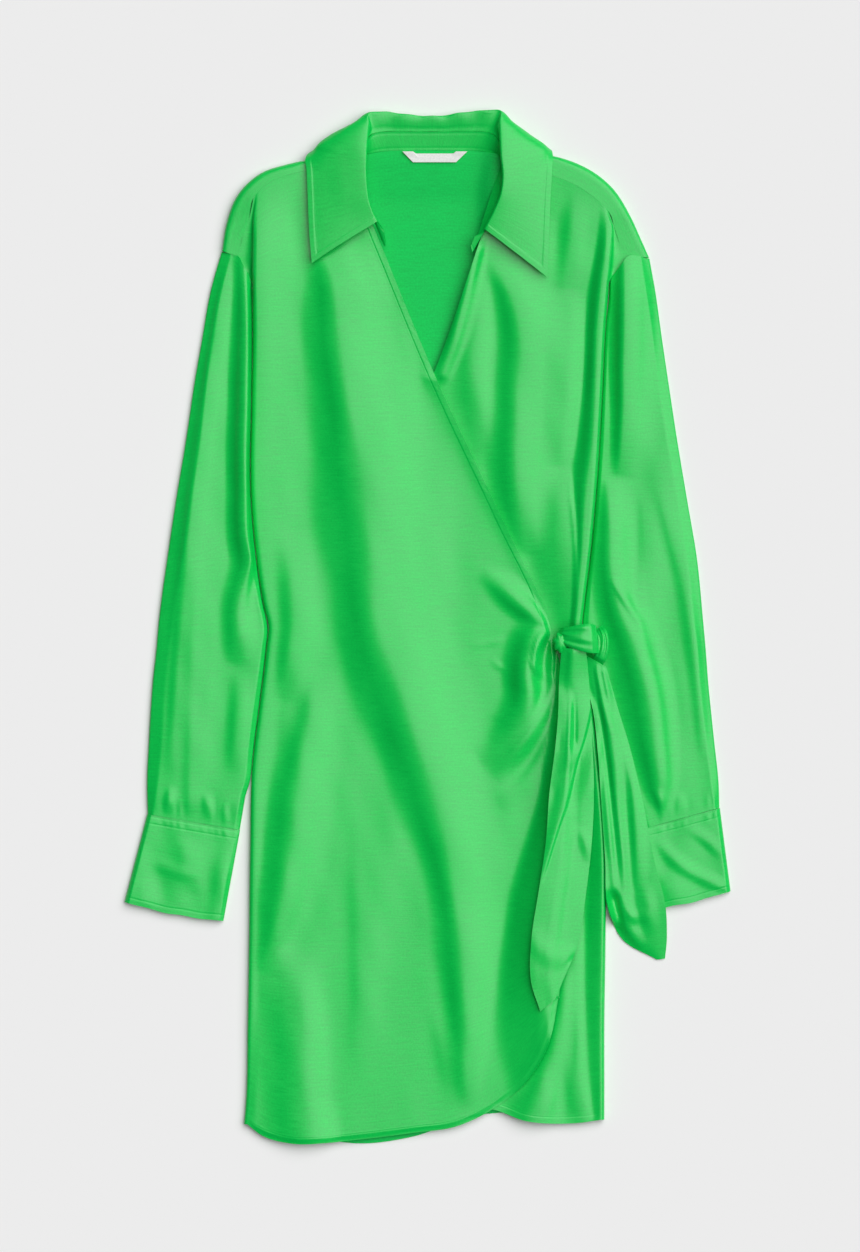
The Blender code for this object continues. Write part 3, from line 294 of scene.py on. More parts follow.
UPPER_FOLDS = {
    "sweep from the shoulder to the hem": ridge(
        (-95, 334, 12, 30, 0), (-84, 300, 24, 46, 7), (-81, 260, 28, 52, 8.4), (-71, 200, 33, 56, 9.6),
        (-59, 120, 42, 60, 11), (-52, 60, 43, 62, 11.2), (-45, 0, 41, 62, 11), (-34, -40, 40, 58, 11),
        (-20, -80, 40, 52, 10.8), (-6, -120, 33, 46, 10), (4.5, -160, 30, 42, 9), (16, -200, 25, 40, 8.2),
        (23, -245, 21, 36, 7), (28, -285, 23, 34, 7.2), (31, -340, 19, 28, 6), (33, -385, 14, 22, 4),
        (35, -425, 10, 18, 0)),
    "second step beside the sweep's end": ridge(
        (4, -330, 10, 14, 0), (16, -385, 15, 16, 2.2), (24, -425, 14, 14, 0)),
    "waist dent": ridge(
        (-125, 84, 14, 24, 0), (-121, 44, 20, 28, 3.2), (-119, 6, 21, 28, 4.6), (-123, -28, 19, 26, 4),
        (-130, -66, 14, 22, 0)),
    "lower left": ridge(
        (-95, -36, 14, 26, 0), (-102, -78, 18, 28, 2.8), (-111, -116, 21, 28, 5),
        (-117.5, -160, 27, 28, 7), (-121, -195, 25, 28, 6.5), (-129, -240, 20, 26, 5.5),
        (-138, -278, 12, 20, 2.5), (-146, -305, 8, 16, 0)),
    "corner of the hem": ridge(
        (-121, -280, 24, 24, 0), (-115, -335, 38, 26, 4.5), (-112, -390, 40, 26, 6),
        (-110, -452, 40, 26, 5)),
    "lower middle": ridge(
        (-62, -160, 12, 28, 0), (-61, -235, 15, 32, 1.5), (-60, -310, 15, 32, 1.6), (-63, -390, 12, 26, 0)),
    "dip in the hem": ridge((-88, -415, 20, 10, 0), (-90, -452, 30, 10, 2.2)),
    "big gather at the knot": ridge(
        (104, 0, 13, 6, 3), (98, -6, 19, 8, 6.4), (91.5, -15, 21, 10, 9), (87, -28, 20, 11, 9.6),
        (85, -42, 19, 13, 9.8), (86, -60, 20, 15, 9.2), (83, -77, 23, 18, 8), (76, -93, 27, 20, 6),
        (63, -106, 24, 20, 3.6), (42, -118, 20, 18, 0)),
    "lobe beside the knot": ridge(
        (107, -3, 5, 4, 1), (98, -14, 4, 5, 3), (94.5, -26, 3, 7, 3.4), (94, -37, 3, 7, 4),
        (97.5, -43, 4, 5, 2), (103, -46, 4, 4, 0)),
    "tuck beside the knot": ridge(
        (113, -6, 4, 3, 1), (111, -14, 5, 3.5, 4.5), (109.5, -26, 5.5, 4, 5), (108.5, -38, 5, 4, 3.4),
        (107, -52, 4, 4, 0)),
    "lower gather": ridge(
        (111, -46, 5, 6, 2), (105, -66, 7, 8, 3.2), (93, -92, 8, 12, 3), (74, -116, 9, 14, 2),
        (56, -132, 10, 14, 0)),
    "lowest gather": ridge(
        (111, -84, 5, 6, 1.6), (101, -110, 7, 12, 2.4), (84, -138, 9, 16, 1.8), (60, -158, 12, 16, 0)),
    "upper gather": ridge(
        (108, 3, 8, 6, 3), (96, 8, 11, 10, 5), (82, 18, 15, 13, 5.5), (68, 30, 15, 14, 4.5),
        (56, 41, 12, 12, 2), (46, 49, 8, 10, 0)),
    "wrinkle left of the gathers": ridge(
        (68, -9, 3, 4, 0), (60, -13, 3.5, 4, 0.9), (48, -16, 3, 4, 0.6), (36, -17, 3, 4, 0)),
    "second wrinkle": ridge((72, -40, 3, 4, 0), (62, -35, 3.5, 4, 0.8), (54, -27, 3, 4, 0)),
}
WALL_FOLDS = {
    "wall under the tie": ridge(
        (116.5, -26, 3, 8, 3), (117.5, -40, 4.5, 10, 7), (118, -60, 6, 12, 9), (117.5, -80, 7.5, 14, 11),
        (116.5, -100, 8, 16, 12), (113, -120, 9, 16, 12.5), (110.5, -153, 11.5, 20, 13.5),
        (108, -180, 17, 26, 15), (105, -205, 21.5, 32, 16), (100, -235, 25, 38, 16.5),
        (95.5, -268, 26.5, 40, 16.5), (95, -300, 31, 34, 15.5), (98, -335, 37, 24, 12),
        (101, -372, 36, 14, 8.5), (103, -415, 28, 10, 4.5)),
}
LOWER_FOLDS = {
    "breast": ridge(
        (54, 320, 8, 14, 0), (67, 300, 14, 24, 3.6), (77, 270, 20, 34, 5.8), (78, 200, 23, 34, 6.4),
        (77, 150, 24, 32, 6.4), (77, 118, 22, 28, 5.4), (82, 88, 17, 22, 3), (90, 62, 10, 14, 0)),
    "tuck over the waist": ridge(
        (123, 140, 20, 4, 0), (122, 118, 30, 3, 2.6), (124, 90, 34, 3, 3.8), (126, 50, 34, 3, 4.2),
        (128, 12, 30, 3, 3.6)),
    "beside the collar point": ridge(
        (131, 388, 8, 14, 0), (128, 360, 12, 18, 2.6), (124, 330, 12, 18, 2.2), (121, 290, 12, 16, 0)),
    "neck edge": ridge((42, 332, 8, 9, 5), (33, 296, 8, 11, 5.5), (22, 252, 8, 11, 5), (12, 222, 7, 9, 2.5)),
    "beside the curved hem": ridge(
        (121, -300, 8, 12, 0), (116.5, -330, 9, 12, 2.6), (111.5, -360, 11, 14, 4),
        (105, -390, 16, 16, 4.6), (98, -418, 24, 18, 4.6), (92, -445, 28, 18, 3.4)),
    "lower right": ridge(
        (127, -250, 16, 10, 0), (126, -300, 22, 12, 2.2), (127, -360, 22, 12, 2.8),
        (130, -400, 20, 12, 2.2), (138, -432, 16, 9, 1.2)),
    "beside the side roll": ridge(
        (121, 296, 30, 14, 0), (119, 262, 34, 15, 2.6), (118, 215, 32, 15, 3), (115, 170, 28, 12, 2.4),
        (110, 140, 22, 10, 0)),
    "beside the neck edge": ridge(
        (46, 318, 8, 12, 0), (43, 292, 14, 16, 1.8), (41, 255, 18, 17, 2.4), (41, 210, 20, 16, 2.2),
        (45, 172, 18, 14, 1.4), (51, 140, 12, 10, 0)),
}
SLEEVES = {
    Side.LEFT: (
        Arm(-181.2, 329.0, -155.8, 301.6, 8, 3, 7.0, 1),
        Arm(-190.5, 295.7, -155.6, 285.0, 9, 3, 6.6, 0.3),
        Arm(-198.4, 251.7, -154.8, 255.0, 10, 3, 6.6, 0),
        Arm(-204.6, 216.5, -155.2, 225.0, 11.5, 3, 7.0, 0),
        Arm(-212.5, 163.7, -156.0, 176.0, 14.5, 3, 7.8, 0),
        Arm(-221.3, 110.9, -156.1, 125.0, 15.5, 3, 8.2, 0),
        Arm(-229.2, 58.1, -152.6, 70.0, 15.5, 4, 8.2, 0), Arm(-236.3, 5.3, -145.2, 17.0, 13.5, 4, 8.2, 0),
        Arm(-238.7, -21.0, -142.2, -10.0, 12.5, 4, 8.2, 0),
        Arm(-241.6, -47.5, -147.0, -52.0, 12.5, 5, 8.0, 0),
        Arm(-245.1, -100.3, -153.6, -105.0, 12.5, 5, 7.8, 0),
        Arm(-246.8, -140.0, -158.4, -139.0, 10, 5, 7.4, 0),
        Arm(-246.2, -165.6, -165.2, -179.4, 5, 5, 7.5, 0),
    ),
    Side.RIGHT: (
        Arm(195.2, 323.2, 162.0, 301.6, 7, 2.5, 7.0, 1), Arm(200.2, 295.7, 161.0, 284.0, 8, 2.5, 6.6, 0.3),
        Arm(206.4, 251.7, 157.0, 252.0, 9, 2.5, 6.6, 0), Arm(211.6, 216.5, 155.2, 218.0, 10, 2.5, 6.6, 0),
        Arm(219.6, 163.7, 152.4, 166.0, 10, 3, 6.6, 0), Arm(228.4, 110.9, 149.2, 112.0, 10, 3, 6.6, 0),
        Arm(237.2, 58.1, 143.4, 62.0, 10, 3, 6.6, 0), Arm(242.4, 5.3, 138.0, 20.0, 10, 4, 6.6, 0),
        Arm(244.8, -21.0, 138.4, -10.0, 9, 6, 6.6, 0), Arm(246.8, -47.5, 146.4, -46.0, 9, 8, 6.6, 0),
        Arm(252.1, -100.3, 161.0, -100.0, 8, 8, 6.6, 0),
        Arm(256.2, -140.0, 175.0, -148.0, 7, 8, 7.0, 0),
        Arm(256.8, -159.8, 188.2, -178.8, 5, 8, 7.5, 0),
    ),
}
SLEEVE_FOLDS = {
    Side.LEFT: {
        "inner ridge": ridge(
            (-163, 324, 8, 5, 1.5), (-161, 290, 11, 5, 5), (-160.5, 240, 14, 5, 7.5),
            (-161, 200, 14, 6, 8.2), (-162, 160, 14, 7, 8.4), (-162, 120, 14, 7, 8.4),
            (-161, 80, 15, 6, 8), (-158, 56, 16, 5, 6.4), (-163, 38, 15, 9, 5.2), (-168, 16, 15, 14, 4.5),
            (-168, -10, 15, 16, 4), (-170, -34, 11, 14, 0)),
        "outer crest": ridge(
            (-176, 318, 6, 12, 0), (-182, 290, 8, 16, 2), (-188, 250, 9, 18, 2.6), (-200, 174, 10, 20, 3),
            (-209, 93, 11, 22, 3), (-213, 45, 11, 22, 2.6), (-218, -10, 10, 20, 2),
            (-222, -70, 9, 18, 1.6), (-226, -130, 8, 14, 0)),
        "forearm": ridge((-166, -42, 9, 12, 0), (-168, -84, 10, 14, 1.8), (-171, -128, 9, 12, 0)),
        "long soft line": ridge(
            (-202, 30, 8, 22, 0), (-204, -20, 11, 26, 1.1), (-206, -70, 12, 26, 1.5),
            (-208, -130, 10, 22, 1.3), (-209, -172, 7, 14, 0.6)),
        "first gather": ridge((-226, -140, 5, 6, 0), (-228, -158, 5, 6, 1.8), (-228, -172, 4, 5, 1)),
        "second gather": ridge((-196, -146, 5, 6, 0), (-193, -164, 5, 6, 2), (-192, -177, 4, 5, 1)),
        "third gather": ridge((-181, -158, 4, 5, 0), (-179, -170, 4, 5, 1.5), (-178, -181, 3, 4, 1)),
    },
    Side.RIGHT: {
        "inner ridge": ridge(
            (172, 330, 8, 16, 2.5), (172, 298, 12, 26, 7.6), (171.5, 260, 12, 29, 8.2),
            (171, 230, 11, 29, 7.4), (171, 200, 10, 28, 6), (170, 165, 9, 27, 4.2), (168, 130, 8, 20, 0)),
        "inner crest": ridge(
            (159, 132, 8, 16, 0), (160, 92, 14, 20, 4.8), (161, 50, 16, 22, 6.2), (167, 15, 19, 22, 7.6),
            (179, -15, 24, 20, 8.8), (190, -55, 25, 20, 9), (197, -100, 22, 18, 8),
            (202, -138, 15, 15, 5), (203, -162, 8, 10, 0)),
        "soft line": ridge(
            (190, 118, 9, 18, 0), (190, 60, 10, 20, 1.2), (190, 0, 10, 18, 1.1), (193, -28, 8, 14, 0)),
        "outer soft line": ridge(
            (203, 122, 8, 12, 0), (216, 73, 10, 13, 1.3), (225, 38, 10, 12, 1.3), (235, -31, 9, 10, 1.5),
            (240, -80, 8, 9, 1.2), (242, -118, 6, 8, 0)),
        "crossed wrinkle": ridge(
            (160, 42, 4, 6, 0), (168, 30, 4, 7, 1), (182, 8, 4, 7, 1.2), (192, -8, 4, 6, 0)),
        "first gather": ridge((199, -142, 5, 7, 0), (205, -158, 5, 7, 2), (206, -172, 4, 6, 1)),
        "second gather": ridge((222, -146, 4, 6, 0), (221, -160, 4, 6, 1.2), (220, -170, 4, 5, 0.6)),
    },
}
CUFF_FOLDS = {
    Side.LEFT: {
        "soft dent": ridge((-214, -186, 14, 20, 0), (-212, -206, 16, 22, 1.5), (-212, -236, 14, 18, 0)),
        "crease across": ridge((-246, -206, 8, 8, 0), (-228, -214, 7, 9, 0.9), (-200, -222, 7, 8, 0)),
        "corner lift": ridge((-250, -222, 10, 12, 0), (-248, -240, 12, 14, 1.2)),
        "inner edge": ridge((-178, -192, 10, 6, 0), (-182, -226, 12, 6, 1.3), (-186, -256, 10, 6, 0.6)),
    },
    Side.RIGHT: {
        "crease across": ridge(
            (200, -186, 6, 7, 0), (214, -204, 7, 8, 1.3), (236, -219, 7, 8, 1.6), (256, -228, 6, 7, 1.0),
            (266, -232, 5, 6, 0)),
        "second crease": ridge((226, -176, 6, 7, 0), (246, -190, 6, 8, 1), (260, -204, 5, 6, 0)),
        "soft dent": ridge((206, -212, 10, 12, 0), (212, -232, 12, 14, 1.2), (214, -246, 10, 12, 0)),
    },
}
CUFFS = {
    Side.LEFT: CuffCorners((-246.6, -166.4), (-164.9, -180.4), (-266.6, -242.6), (-179.5, -259.4)),
    Side.RIGHT: CuffCorners((257.2, -160.8), (187.6, -179.8), (266.6, -233.2), (182.6, -251.0)),
}
TIE_FRONT = (
    Tail((117.5, -19.0, 21.2), (139, -21.0, 21.6), 2.6), Tail((115.6, -45, 17.5), (141.5, -45, 17.0), 2.4),
    Tail((114.4, -80, 15.6), (143.4, -78, 15.6), 2), Tail((111.6, -110, 14.6), (144.8, -106, 15.0), 2),
    Tail((107, -145, 16.5), (146, -140, 17.6), 1.6), Tail((103.6, -190, 19), (144.5, -185, 18.8), 1.4),
    Tail((97, -235, 22), (139.5, -231, 19.6), 1.2), Tail((91, -275, 22.5), (132.5, -277, 19.2), 1.2),
    Tail((91, -313, 19.0), (121, -306, 18.2), 1.0), Tail((99, -338, 14.0), (112, -327, 16.0), 0.6),
)
TIE_SIDE = (
    Tail((139, -26.0, 15.4), (157, -36, 16.8), 1.5), Tail((139.5, -48, 13.6), (161.5, -52, 14.6), 2),
    Tail((145.6, -76, 11.0), (168.4, -76, 12.6), 2.2), Tail((149.6, -112, 8.0), (177.6, -106, 11.5), 2.2),
    Tail((153.0, -162, 5.0), (190, -158, 11.0), 2.2), Tail((156.0, -205, 3.4), (199, -205, 10.0), 2),
    Tail((158.6, -246, 2.2), (209, -245, 9.2), 2), Tail((171, -275, 1.8), (210.5, -272, 5.4), 1.6),
    Tail((202, -293.5, 1.8), (209, -292.5, 2.0), 0.4),
)
TIE_FOLDS = {
    "turned edge": ridge(
        (143, -62, 8, 2, 0), (139.5, -80, 14, 1.6, 1.8), (134.5, -100, 16, 1.5, 2.4),
        (128.3, -120, 15, 1.5, 2.6), (124, -140, 13, 1.5, 2.6), (120, -155, 12, 1.5, 2.4),
        (112, -180, 9, 1.6, 2.2), (104, -207, 6, 1.8, 1.4), (97, -230, 4, 2, 0)),
    "blade": ridge(
        (147, -92, 6, 5, 0), (146, -115, 11, 6, 2.8), (142.5, -138, 13, 8, 2.8), (136, -156, 12, 10, 1.4),
        (128, -172, 10, 12, 0)),
    "dent in the blade": ridge((134, -178, 4, 8, 0), (139, -192, 7, 6, 1.6), (140, -208, 5, 6, 0)),
    "line from the knot": ridge((126, -24, 4, 6, 1), (125, -40, 5, 7, 0.9), (123, -64, 4, 7, 0)),
    "turned tip": ridge(
        (88, -262, 5, 10, 0), (98, -283, 10, 12, 1.0), (112, -290, 12, 12, 1.1), (128, -282, 8, 8, 0)),
    "side tie's raised edge": ridge(
        (151, -62, 4, 8, 0), (156.5, -82, 7, 11, 2.6), (161, -112, 8, 12, 4), (164.5, -162, 8.5, 10, 4.6),
        (168, -205, 9, 10, 5), (169.5, -245, 8.5, 11, 4.6), (177, -268, 7, 10, 2.6), (190, -284, 4, 6, 0)),
    "side tie's inner fold": ridge(
        (170, -96, 4, 6, 0), (176.5, -126, 6, 8, 1.8), (180, -150, 7, 9, 2.4), (182, -180, 7, 10, 2.4),
        (183, -210, 6, 10, 1.6), (184, -232, 4, 8, 0)),
    "side tie's gather": ridge(
        (148, -38, 3, 4, 0.8), (151, -54, 3.4, 5, 1.6), (155, -74, 4, 6, 1.4), (161, -100, 4, 6, 0)),
    "side tie's second gather": ridge((154, -40, 2.6, 3, 0.8), (157.5, -56, 3, 4, 1.4), (162, -76, 3, 4, 0)),
    "side tie's tip": ridge((188, -225, 7, 9, 0), (192, -248, 9, 9, 1.3), (197, -272, 6, 7, 0)),
}
COLLAR = (
    Fall((-46.5, 354, 14.6), (-43.6, 355.5, 17.6), (-44.4, 354.9, 18.6),
         (-63, 343.5, 18.0), (-83, 331, 16.8), (-101.6, 318.6, 15.2)),
    Fall((-51, 364, 15), (-48, 364.5, 19.0), (-49.0, 364.3, 20.2),
         (-68, 359, 19.2), (-87, 351.5, 17.6), (-103.8, 345, 15.6)),
    Fall((-54.5, 377, 16), (-51.5, 377, 20.4), (-52.6, 377, 21.6),
         (-71, 376.5, 20.4), (-89, 375.5, 18.2), (-105, 374, 16)),
    Fall((-56.5, 396, 17), (-53.2, 396, 21.2), (-54.4, 396.2, 22.4),
         (-73, 397, 20.8), (-90, 398, 18.2), (-106, 398, 15.4)),
    Fall((-56.5, 408, 17.4), (-53.2, 410, 21.2), (-54.4, 410.3, 22.4),
         (-73, 412.5, 20.2), (-91, 413.5, 16.6), (-107.2, 411, 11)),
    Fall((-56, 416, 16.4), (-52.8, 420, 20.4), (-54.0, 420.6, 21.4),
         (-76, 423.5, 18.4), (-97, 421.5, 11.4), (-101.5, 417, 2.4)),
    Fall((-54.5, 424, 14.6), (-52, 430, 18.6), (-53.2, 430.8, 19.6),
         (-72, 434.5, 16.2), (-87, 430.5, 6.5), (-90, 410, 0.1)),
    Fall((-51, 430.5, 12.4), (-51, 440, 16.0), (-52, 441, 16.8),
         (-62, 443.5, 13.6), (-68, 438.5, 4.5), (-64, 402, 0.1)),
    Fall((-43, 434.0, 10.6), (-49, 449.5, 13.2), (-49.4, 451.2, 13.2),
         (-50.5, 451.6, 9.6), (-49, 444, 1.8), (-40, 398, 0.1)),
    Fall((-24, 434.6, 9.7), (-25, 448.6, 12.4), (-25, 449.9, 12.0),
         (-25, 450.2, 8), (-25, 442, 1.8), (-22, 400, 0.1)),
    Fall((4, 434.5, 9.4), (4, 446.2, 11.6), (4, 447.4, 11.2), (4, 447.8, 7.6), (4, 440, 1.8), (4, 402, 0.1)),
    Fall((31.8, 434.9, 9.7), (33, 449.4, 12.4), (33, 450.8, 12.0),
         (33, 451.1, 8), (33, 442.5, 1.8), (30, 400, 0.1)),
    Fall((51, 434.3, 10.8), (61, 451, 13.6), (61.8, 452.7, 13.8),
         (62.6, 453.2, 10), (60, 445.5, 1.8), (50, 399, 0.1)),
    Fall((59.5, 430.5, 13.6), (62.4, 441.5, 17.4), (63.6, 442.5, 18.4),
         (73, 443.5, 14.6), (79, 438.5, 4.5), (74, 402, 0.1)),
    Fall((64, 424, 16.4), (63, 431, 20.4), (64.2, 431.8, 21.6),
         (80, 434.8, 17.4), (93, 429.5, 6.5), (96, 411, 0.1)),
    Fall((66, 416, 18.8), (63.4, 420.5, 22.6), (64.8, 421.1, 24.0),
         (86, 424.5, 20.2), (102, 423.5, 12), (107, 419, 2.5)),
    Fall((67, 408, 19.6), (64, 410, 24), (65.4, 410.3, 25.6),
         (85, 414, 22.6), (101, 416.5, 17.8), (110, 414.5, 11)),
    Fall((68.5, 395, 19), (65.4, 395, 24), (66.8, 395.2, 25.7),
         (83, 397.5, 23), (97, 399.5, 19.6), (109.5, 401, 16)),
    Fall((66, 380, 18), (63.6, 379, 23), (64.8, 378.8, 24.6), (80, 378, 22.4), (95, 377, 19.5),
         (108, 375, 16.6)),
    Fall((60, 366, 16.6), (57.6, 364, 21), (58.7, 363.4, 22.4),
         (75, 355.5, 20.6), (91, 348, 18.6), (106.6, 341, 16.2)),
    Fall((52.5, 347, 15.6), (49.7, 348.5, 18.8), (50.8, 347.7, 20.0),
         (69, 334, 18.8), (87, 320.3, 17.2), (105.2, 306.2, 15.5)),
)
STAND = (
    Stand((-36.9, 338.6, 12.4), (-38.6, 347.5, 13.6)), Stand((-38.3, 334.6, 10.8), (-42.8, 354.0, 14.2)),
    Stand((-47, 356, 9.8), (-51.2, 364.5, 14.6)),
    Stand((-56, 381, 9.8), (-55.6, 379, 15.6)), Stand((-63.5, 402, 9), (-57.2, 398, 16.6)),
    Stand((-62.5, 409, 8.2), (-57, 411, 16.8)), Stand((-57, 414.5, 7.2), (-55.4, 420.5, 15.6)),
    Stand((-48, 416.2, 6.6), (-50.8, 430.2, 12.2)), Stand((-37, 417.5, 6.3), (-42.6, 433.9, 10.4)),
    Stand((-20, 418.0, 6.2), (-24, 434.5, 9.5)), Stand((4, 418.2, 6.2), (4, 434.4, 9.2)),
    Stand((26, 418.1, 6.2), (31.6, 434.8, 9.5)), Stand((40, 417.9, 6.3), (50.6, 434.2, 10.6)),
    Stand((51, 417.0, 6.6), (59.2, 430.3, 13.4)), Stand((59, 415.4, 7.2), (64.3, 423.5, 16.2)),
    Stand((64, 410.5, 8.2), (66.8, 411.5, 18.6)), Stand((64, 402, 9), (68.4, 398.5, 18.2)),
    Stand((57.5, 383, 9.8), (66.6, 381.5, 17)), Stand((49, 356, 9.8), (60.2, 366.2, 16)),
    Stand((40.3, 329.6, 10.8), (50.2, 347.2, 15.2)), Stand((38.2, 333.6, 12.4), (41.6, 342.4, 13.8)),
)
KNOT_BAND = (
    Wrap(114.5, -6.5, 19.0, 1.5, 4.4), Wrap(121, -8.5, 23.6, 2.2, 7.6), Wrap(130, -9.6, 26.8, 1.8, 10.6),
    Wrap(138, -10.4, 28.0, 0.6, 12.2), Wrap(144.8, -11.1, 27.0, -1.0, 12.8),
    Wrap(149.2, -11.6, 23.8, -1.5, 12.0),
)
KNOT_LOOP = (
    Wrap(150, -1.5, 16.0, 4.0, 2.2), Wrap(153, -8, 20.0, 4.8, 2.0), Wrap(154, -17, 21.4, 5.2, 0.3),
    Wrap(152.2, -26, 20.6, 5.0, -2.2), Wrap(148.5, -33, 18.0, 4.0, -3.0),
)


# -------- curves
def spline(knots: Array, values: Array, at: Array) -> Array:
    """Smooth curve through the values, read at places between the knots.

    Args:
        knots: Places of the values, rising.
        values: One value or row of values for each knot.
        at: Places to read.

    Returns:
        The values at those places.
    """
    knots = np.asarray(knots, float)
    values = np.asarray(values, float)
    at = np.clip(np.asarray(at, float), knots[0], knots[-1])
    slope = np.gradient(values, knots, axis=0)
    index = np.clip(np.searchsorted(knots, at, side="right") - 1, 0, len(knots) - 2)
    wide = at.shape + (1,) * (values.ndim - 1)
    span = (knots[index + 1] - knots[index]).reshape(wide)
    u = (at - knots[index]).reshape(wide) / span
    ends = values[index] * (1 - 3 * u ** 2 + 2 * u ** 3) + values[index + 1] * (3 * u ** 2 - 2 * u ** 3)
    return ends + slope[index] * span * (u - 1) ** 2 * u + slope[index + 1] * span * (u - 1) * u ** 2


def settled(knots: Array, values: Array, at: Array) -> Array:
    """Smooth curve through single values that never runs past them.

    Args:
        knots: Places of the values, rising.
        values: One value for each knot.
        at: Places to read.

    Returns:
        The values at those places.
    """
    steps = np.diff(values) / np.diff(knots)
    both = steps[1:] * steps[:-1]
    inner = np.where(both > 0, 2 * both / np.where(both > 0, steps[1:] + steps[:-1], 1), 0)
    slope = np.concatenate([steps[:1], inner, steps[-1:]])
    index = np.clip(np.searchsorted(knots, at, side="right") - 1, 0, len(knots) - 2)
    span = knots[index + 1] - knots[index]
    u = (at - knots[index]) / span
    ends = values[index] * (1 - 3 * u ** 2 + 2 * u ** 3) + values[index + 1] * (3 * u ** 2 - 2 * u ** 3)
    return ends + slope[index] * span * (u - 1) ** 2 * u + slope[index + 1] * span * (u - 1) * u ** 2


def chord_knots(rows: Sequence, axes: int) -> Array:
    """Places of the rows along the line through their first columns, from 0 to 1."""
    steps = np.linalg.norm(np.diff(np.asarray(rows, float)[:, :axes], axis=0), axis=1)
    return np.concatenate([[0.0], np.cumsum(steps)]) / steps.sum()


def trace(rows: Sequence, at: Array, axes: int = 2) -> Array:
    """Rows read at fractions of the length of the smooth curve through them."""
    return spline(chord_knots(rows, axes), rows, at)


def across_at(points: Sequence, y: Array) -> Array:
    """The x of a line of points that runs along the dress, at each y."""
    table = np.array(sorted((point[1], point[0]) for point in points))
    return spline(table[:, 0], table[:, 1], y)


def columns_at(rows: Sequence, y: Array) -> Array:
    """The columns of a table of rows that start with their y, at each y."""
    table = np.array(sorted(rows))
    return np.moveaxis(spline(table[:, 0], table[:, 1:], y), -1, 0)


def outline(points: Sequence, count: int) -> Array:
    """Evenly spaced points on the smooth curve through a few."""
    return trace(points, np.linspace(0, 1, count))


def ease(u: Array) -> Array:
    """Smooth step from 0 to 1."""
    u = np.clip(u, 0.0, 1.0)
    return u * u * (3 - 2 * u)


def bump(place: Array, middle: float, width: float) -> Array:
    """Rounded rise to 1 at its middle, gone a few widths away."""
    return np.exp(-((place - middle) / width) ** 2)


def flank(u: Array, top: float = 0.28, foot: float = 0.28) -> Array:
    """Even slope from 0 to 1 that is rounded over a share of its length at each end.

    Args:
        u: Place along the slope, from 0 to 1.
        top: Share that is rounded at its start.
        foot: Share that is rounded at its end.

    Returns:
        The share of the whole fall at that place.
    """
    u = np.clip(u, 0.0, 1.0)
    whole = 1 - (top + foot) / 2
    fall = np.where(u > 1 - foot, whole - (1 - u) ** 2 / (2 * foot), u - top / 2)
    return np.where(u < top, u * u / (2 * top), fall) / whole


def quarter_round(u: Array) -> Array:
    """Rise of a quarter circle over its foot, for a place 0 to 1 along the foot."""
    return np.sqrt(1 - (1 - np.clip(u, 0.0, 1.0)) ** 2)


def unit(vectors: Array) -> Array:
    """Vectors at length one."""
    return vectors / np.linalg.norm(vectors, axis=-1, keepdims=True)


def with_height(flat: Array, height: Array) -> Array:
    """Points of a flat grid lifted to a height."""
    return np.dstack([flat, np.broadcast_to(height, flat.shape[:2])])


def between(knots: Array, step: float) -> Array:
    """Row numbers, with fractions, that cut the spans between knots into even steps.

    Args:
        knots: Places along the cloth, in either order.
        step: Longest distance between two rows.

    Returns:
        Row numbers from 0 to the last knot.
    """
    spans = np.abs(np.diff(knots))
    parts = [k + np.arange(n) / n for k, n in enumerate(np.maximum(1, np.ceil(spans / step)).astype(int))]
    return np.concatenate([*parts, [len(spans)]])


def reread(rows: Array, at: Array) -> Array:
    """Rows read at row numbers with fractions, on the smooth curve through them."""
    return spline(np.arange(len(rows)), rows, at)


def project(line: Array, x: Array, y: Array) -> tuple[Array, Array, Array]:
    """Project flat points on every span of a line of points.

    Args:
        line: Points of the line, in order, no two the same.
        x: Places to project, in one row.
        y: The same.

    Returns:
        Distance to each span, share of the way along it, and whether the point is on its left.
    """
    start, run = line[:-1], np.diff(line, axis=0)
    dx, dy = x[:, None] - start[:, 0], y[:, None] - start[:, 1]
    along = np.clip((dx * run[:, 0] + dy * run[:, 1]) / (run[:, 0] ** 2 + run[:, 1] ** 2), 0, 1)
    away = np.hypot(dx - along * run[:, 0], dy - along * run[:, 1])
    return away, along, dy * run[:, 0] - dx * run[:, 1] > 0


def distance_to(line: Array, x: Array, y: Array) -> Array:
    """Flat distance from points to a line of points.

    Args:
        line: Points of the line, in order.
        x: Places to measure from.
        y: Places to measure from.

    Returns:
        Distances, in the shape that x and y share.
    """
    shape = np.broadcast(x, y).shape
    x, y = np.broadcast_to(x, shape).ravel(), np.broadcast_to(y, shape).ravel()
    steps = np.abs(np.diff(line, axis=0)).sum(axis=1)
    away, _, _ = project(line[np.append(True, steps > 0)], x, y)
    return away.min(axis=1).reshape(shape)


def drift(x: Array, y: Array) -> Array:
    """Slow, shallow unevenness of cloth that was smoothed out by hand.

    Args:
        x: Places across.
        y: Places along.

    Returns:
        Height to add, under a millimetre.
    """
    return (0.34 * np.sin(0.088 * x + 0.6 * np.sin(0.021 * y) + 0.4) * np.sin(0.017 * y + 0.9)
            + 0.26 * np.sin(0.131 * x - 0.019 * y + 2.1) + 0.2 * np.sin(0.052 * x + 0.034 * y + 4.4)
            + 0.12 * np.sin(0.21 * x + 0.043 * y) * np.sin(0.05 * y + 0.016 * x + 1.7))


def uneven(along: Array) -> Array:
    """Puckers along a seam, from -1 to 1, of uneven size and spacing."""
    size = 0.55 + 0.45 * np.sin(0.23 * along + 1.1) * np.sin(0.081 * along + 0.3)
    return size * np.sin(0.78 * along + 1.9 * np.sin(0.17 * along + 0.5))


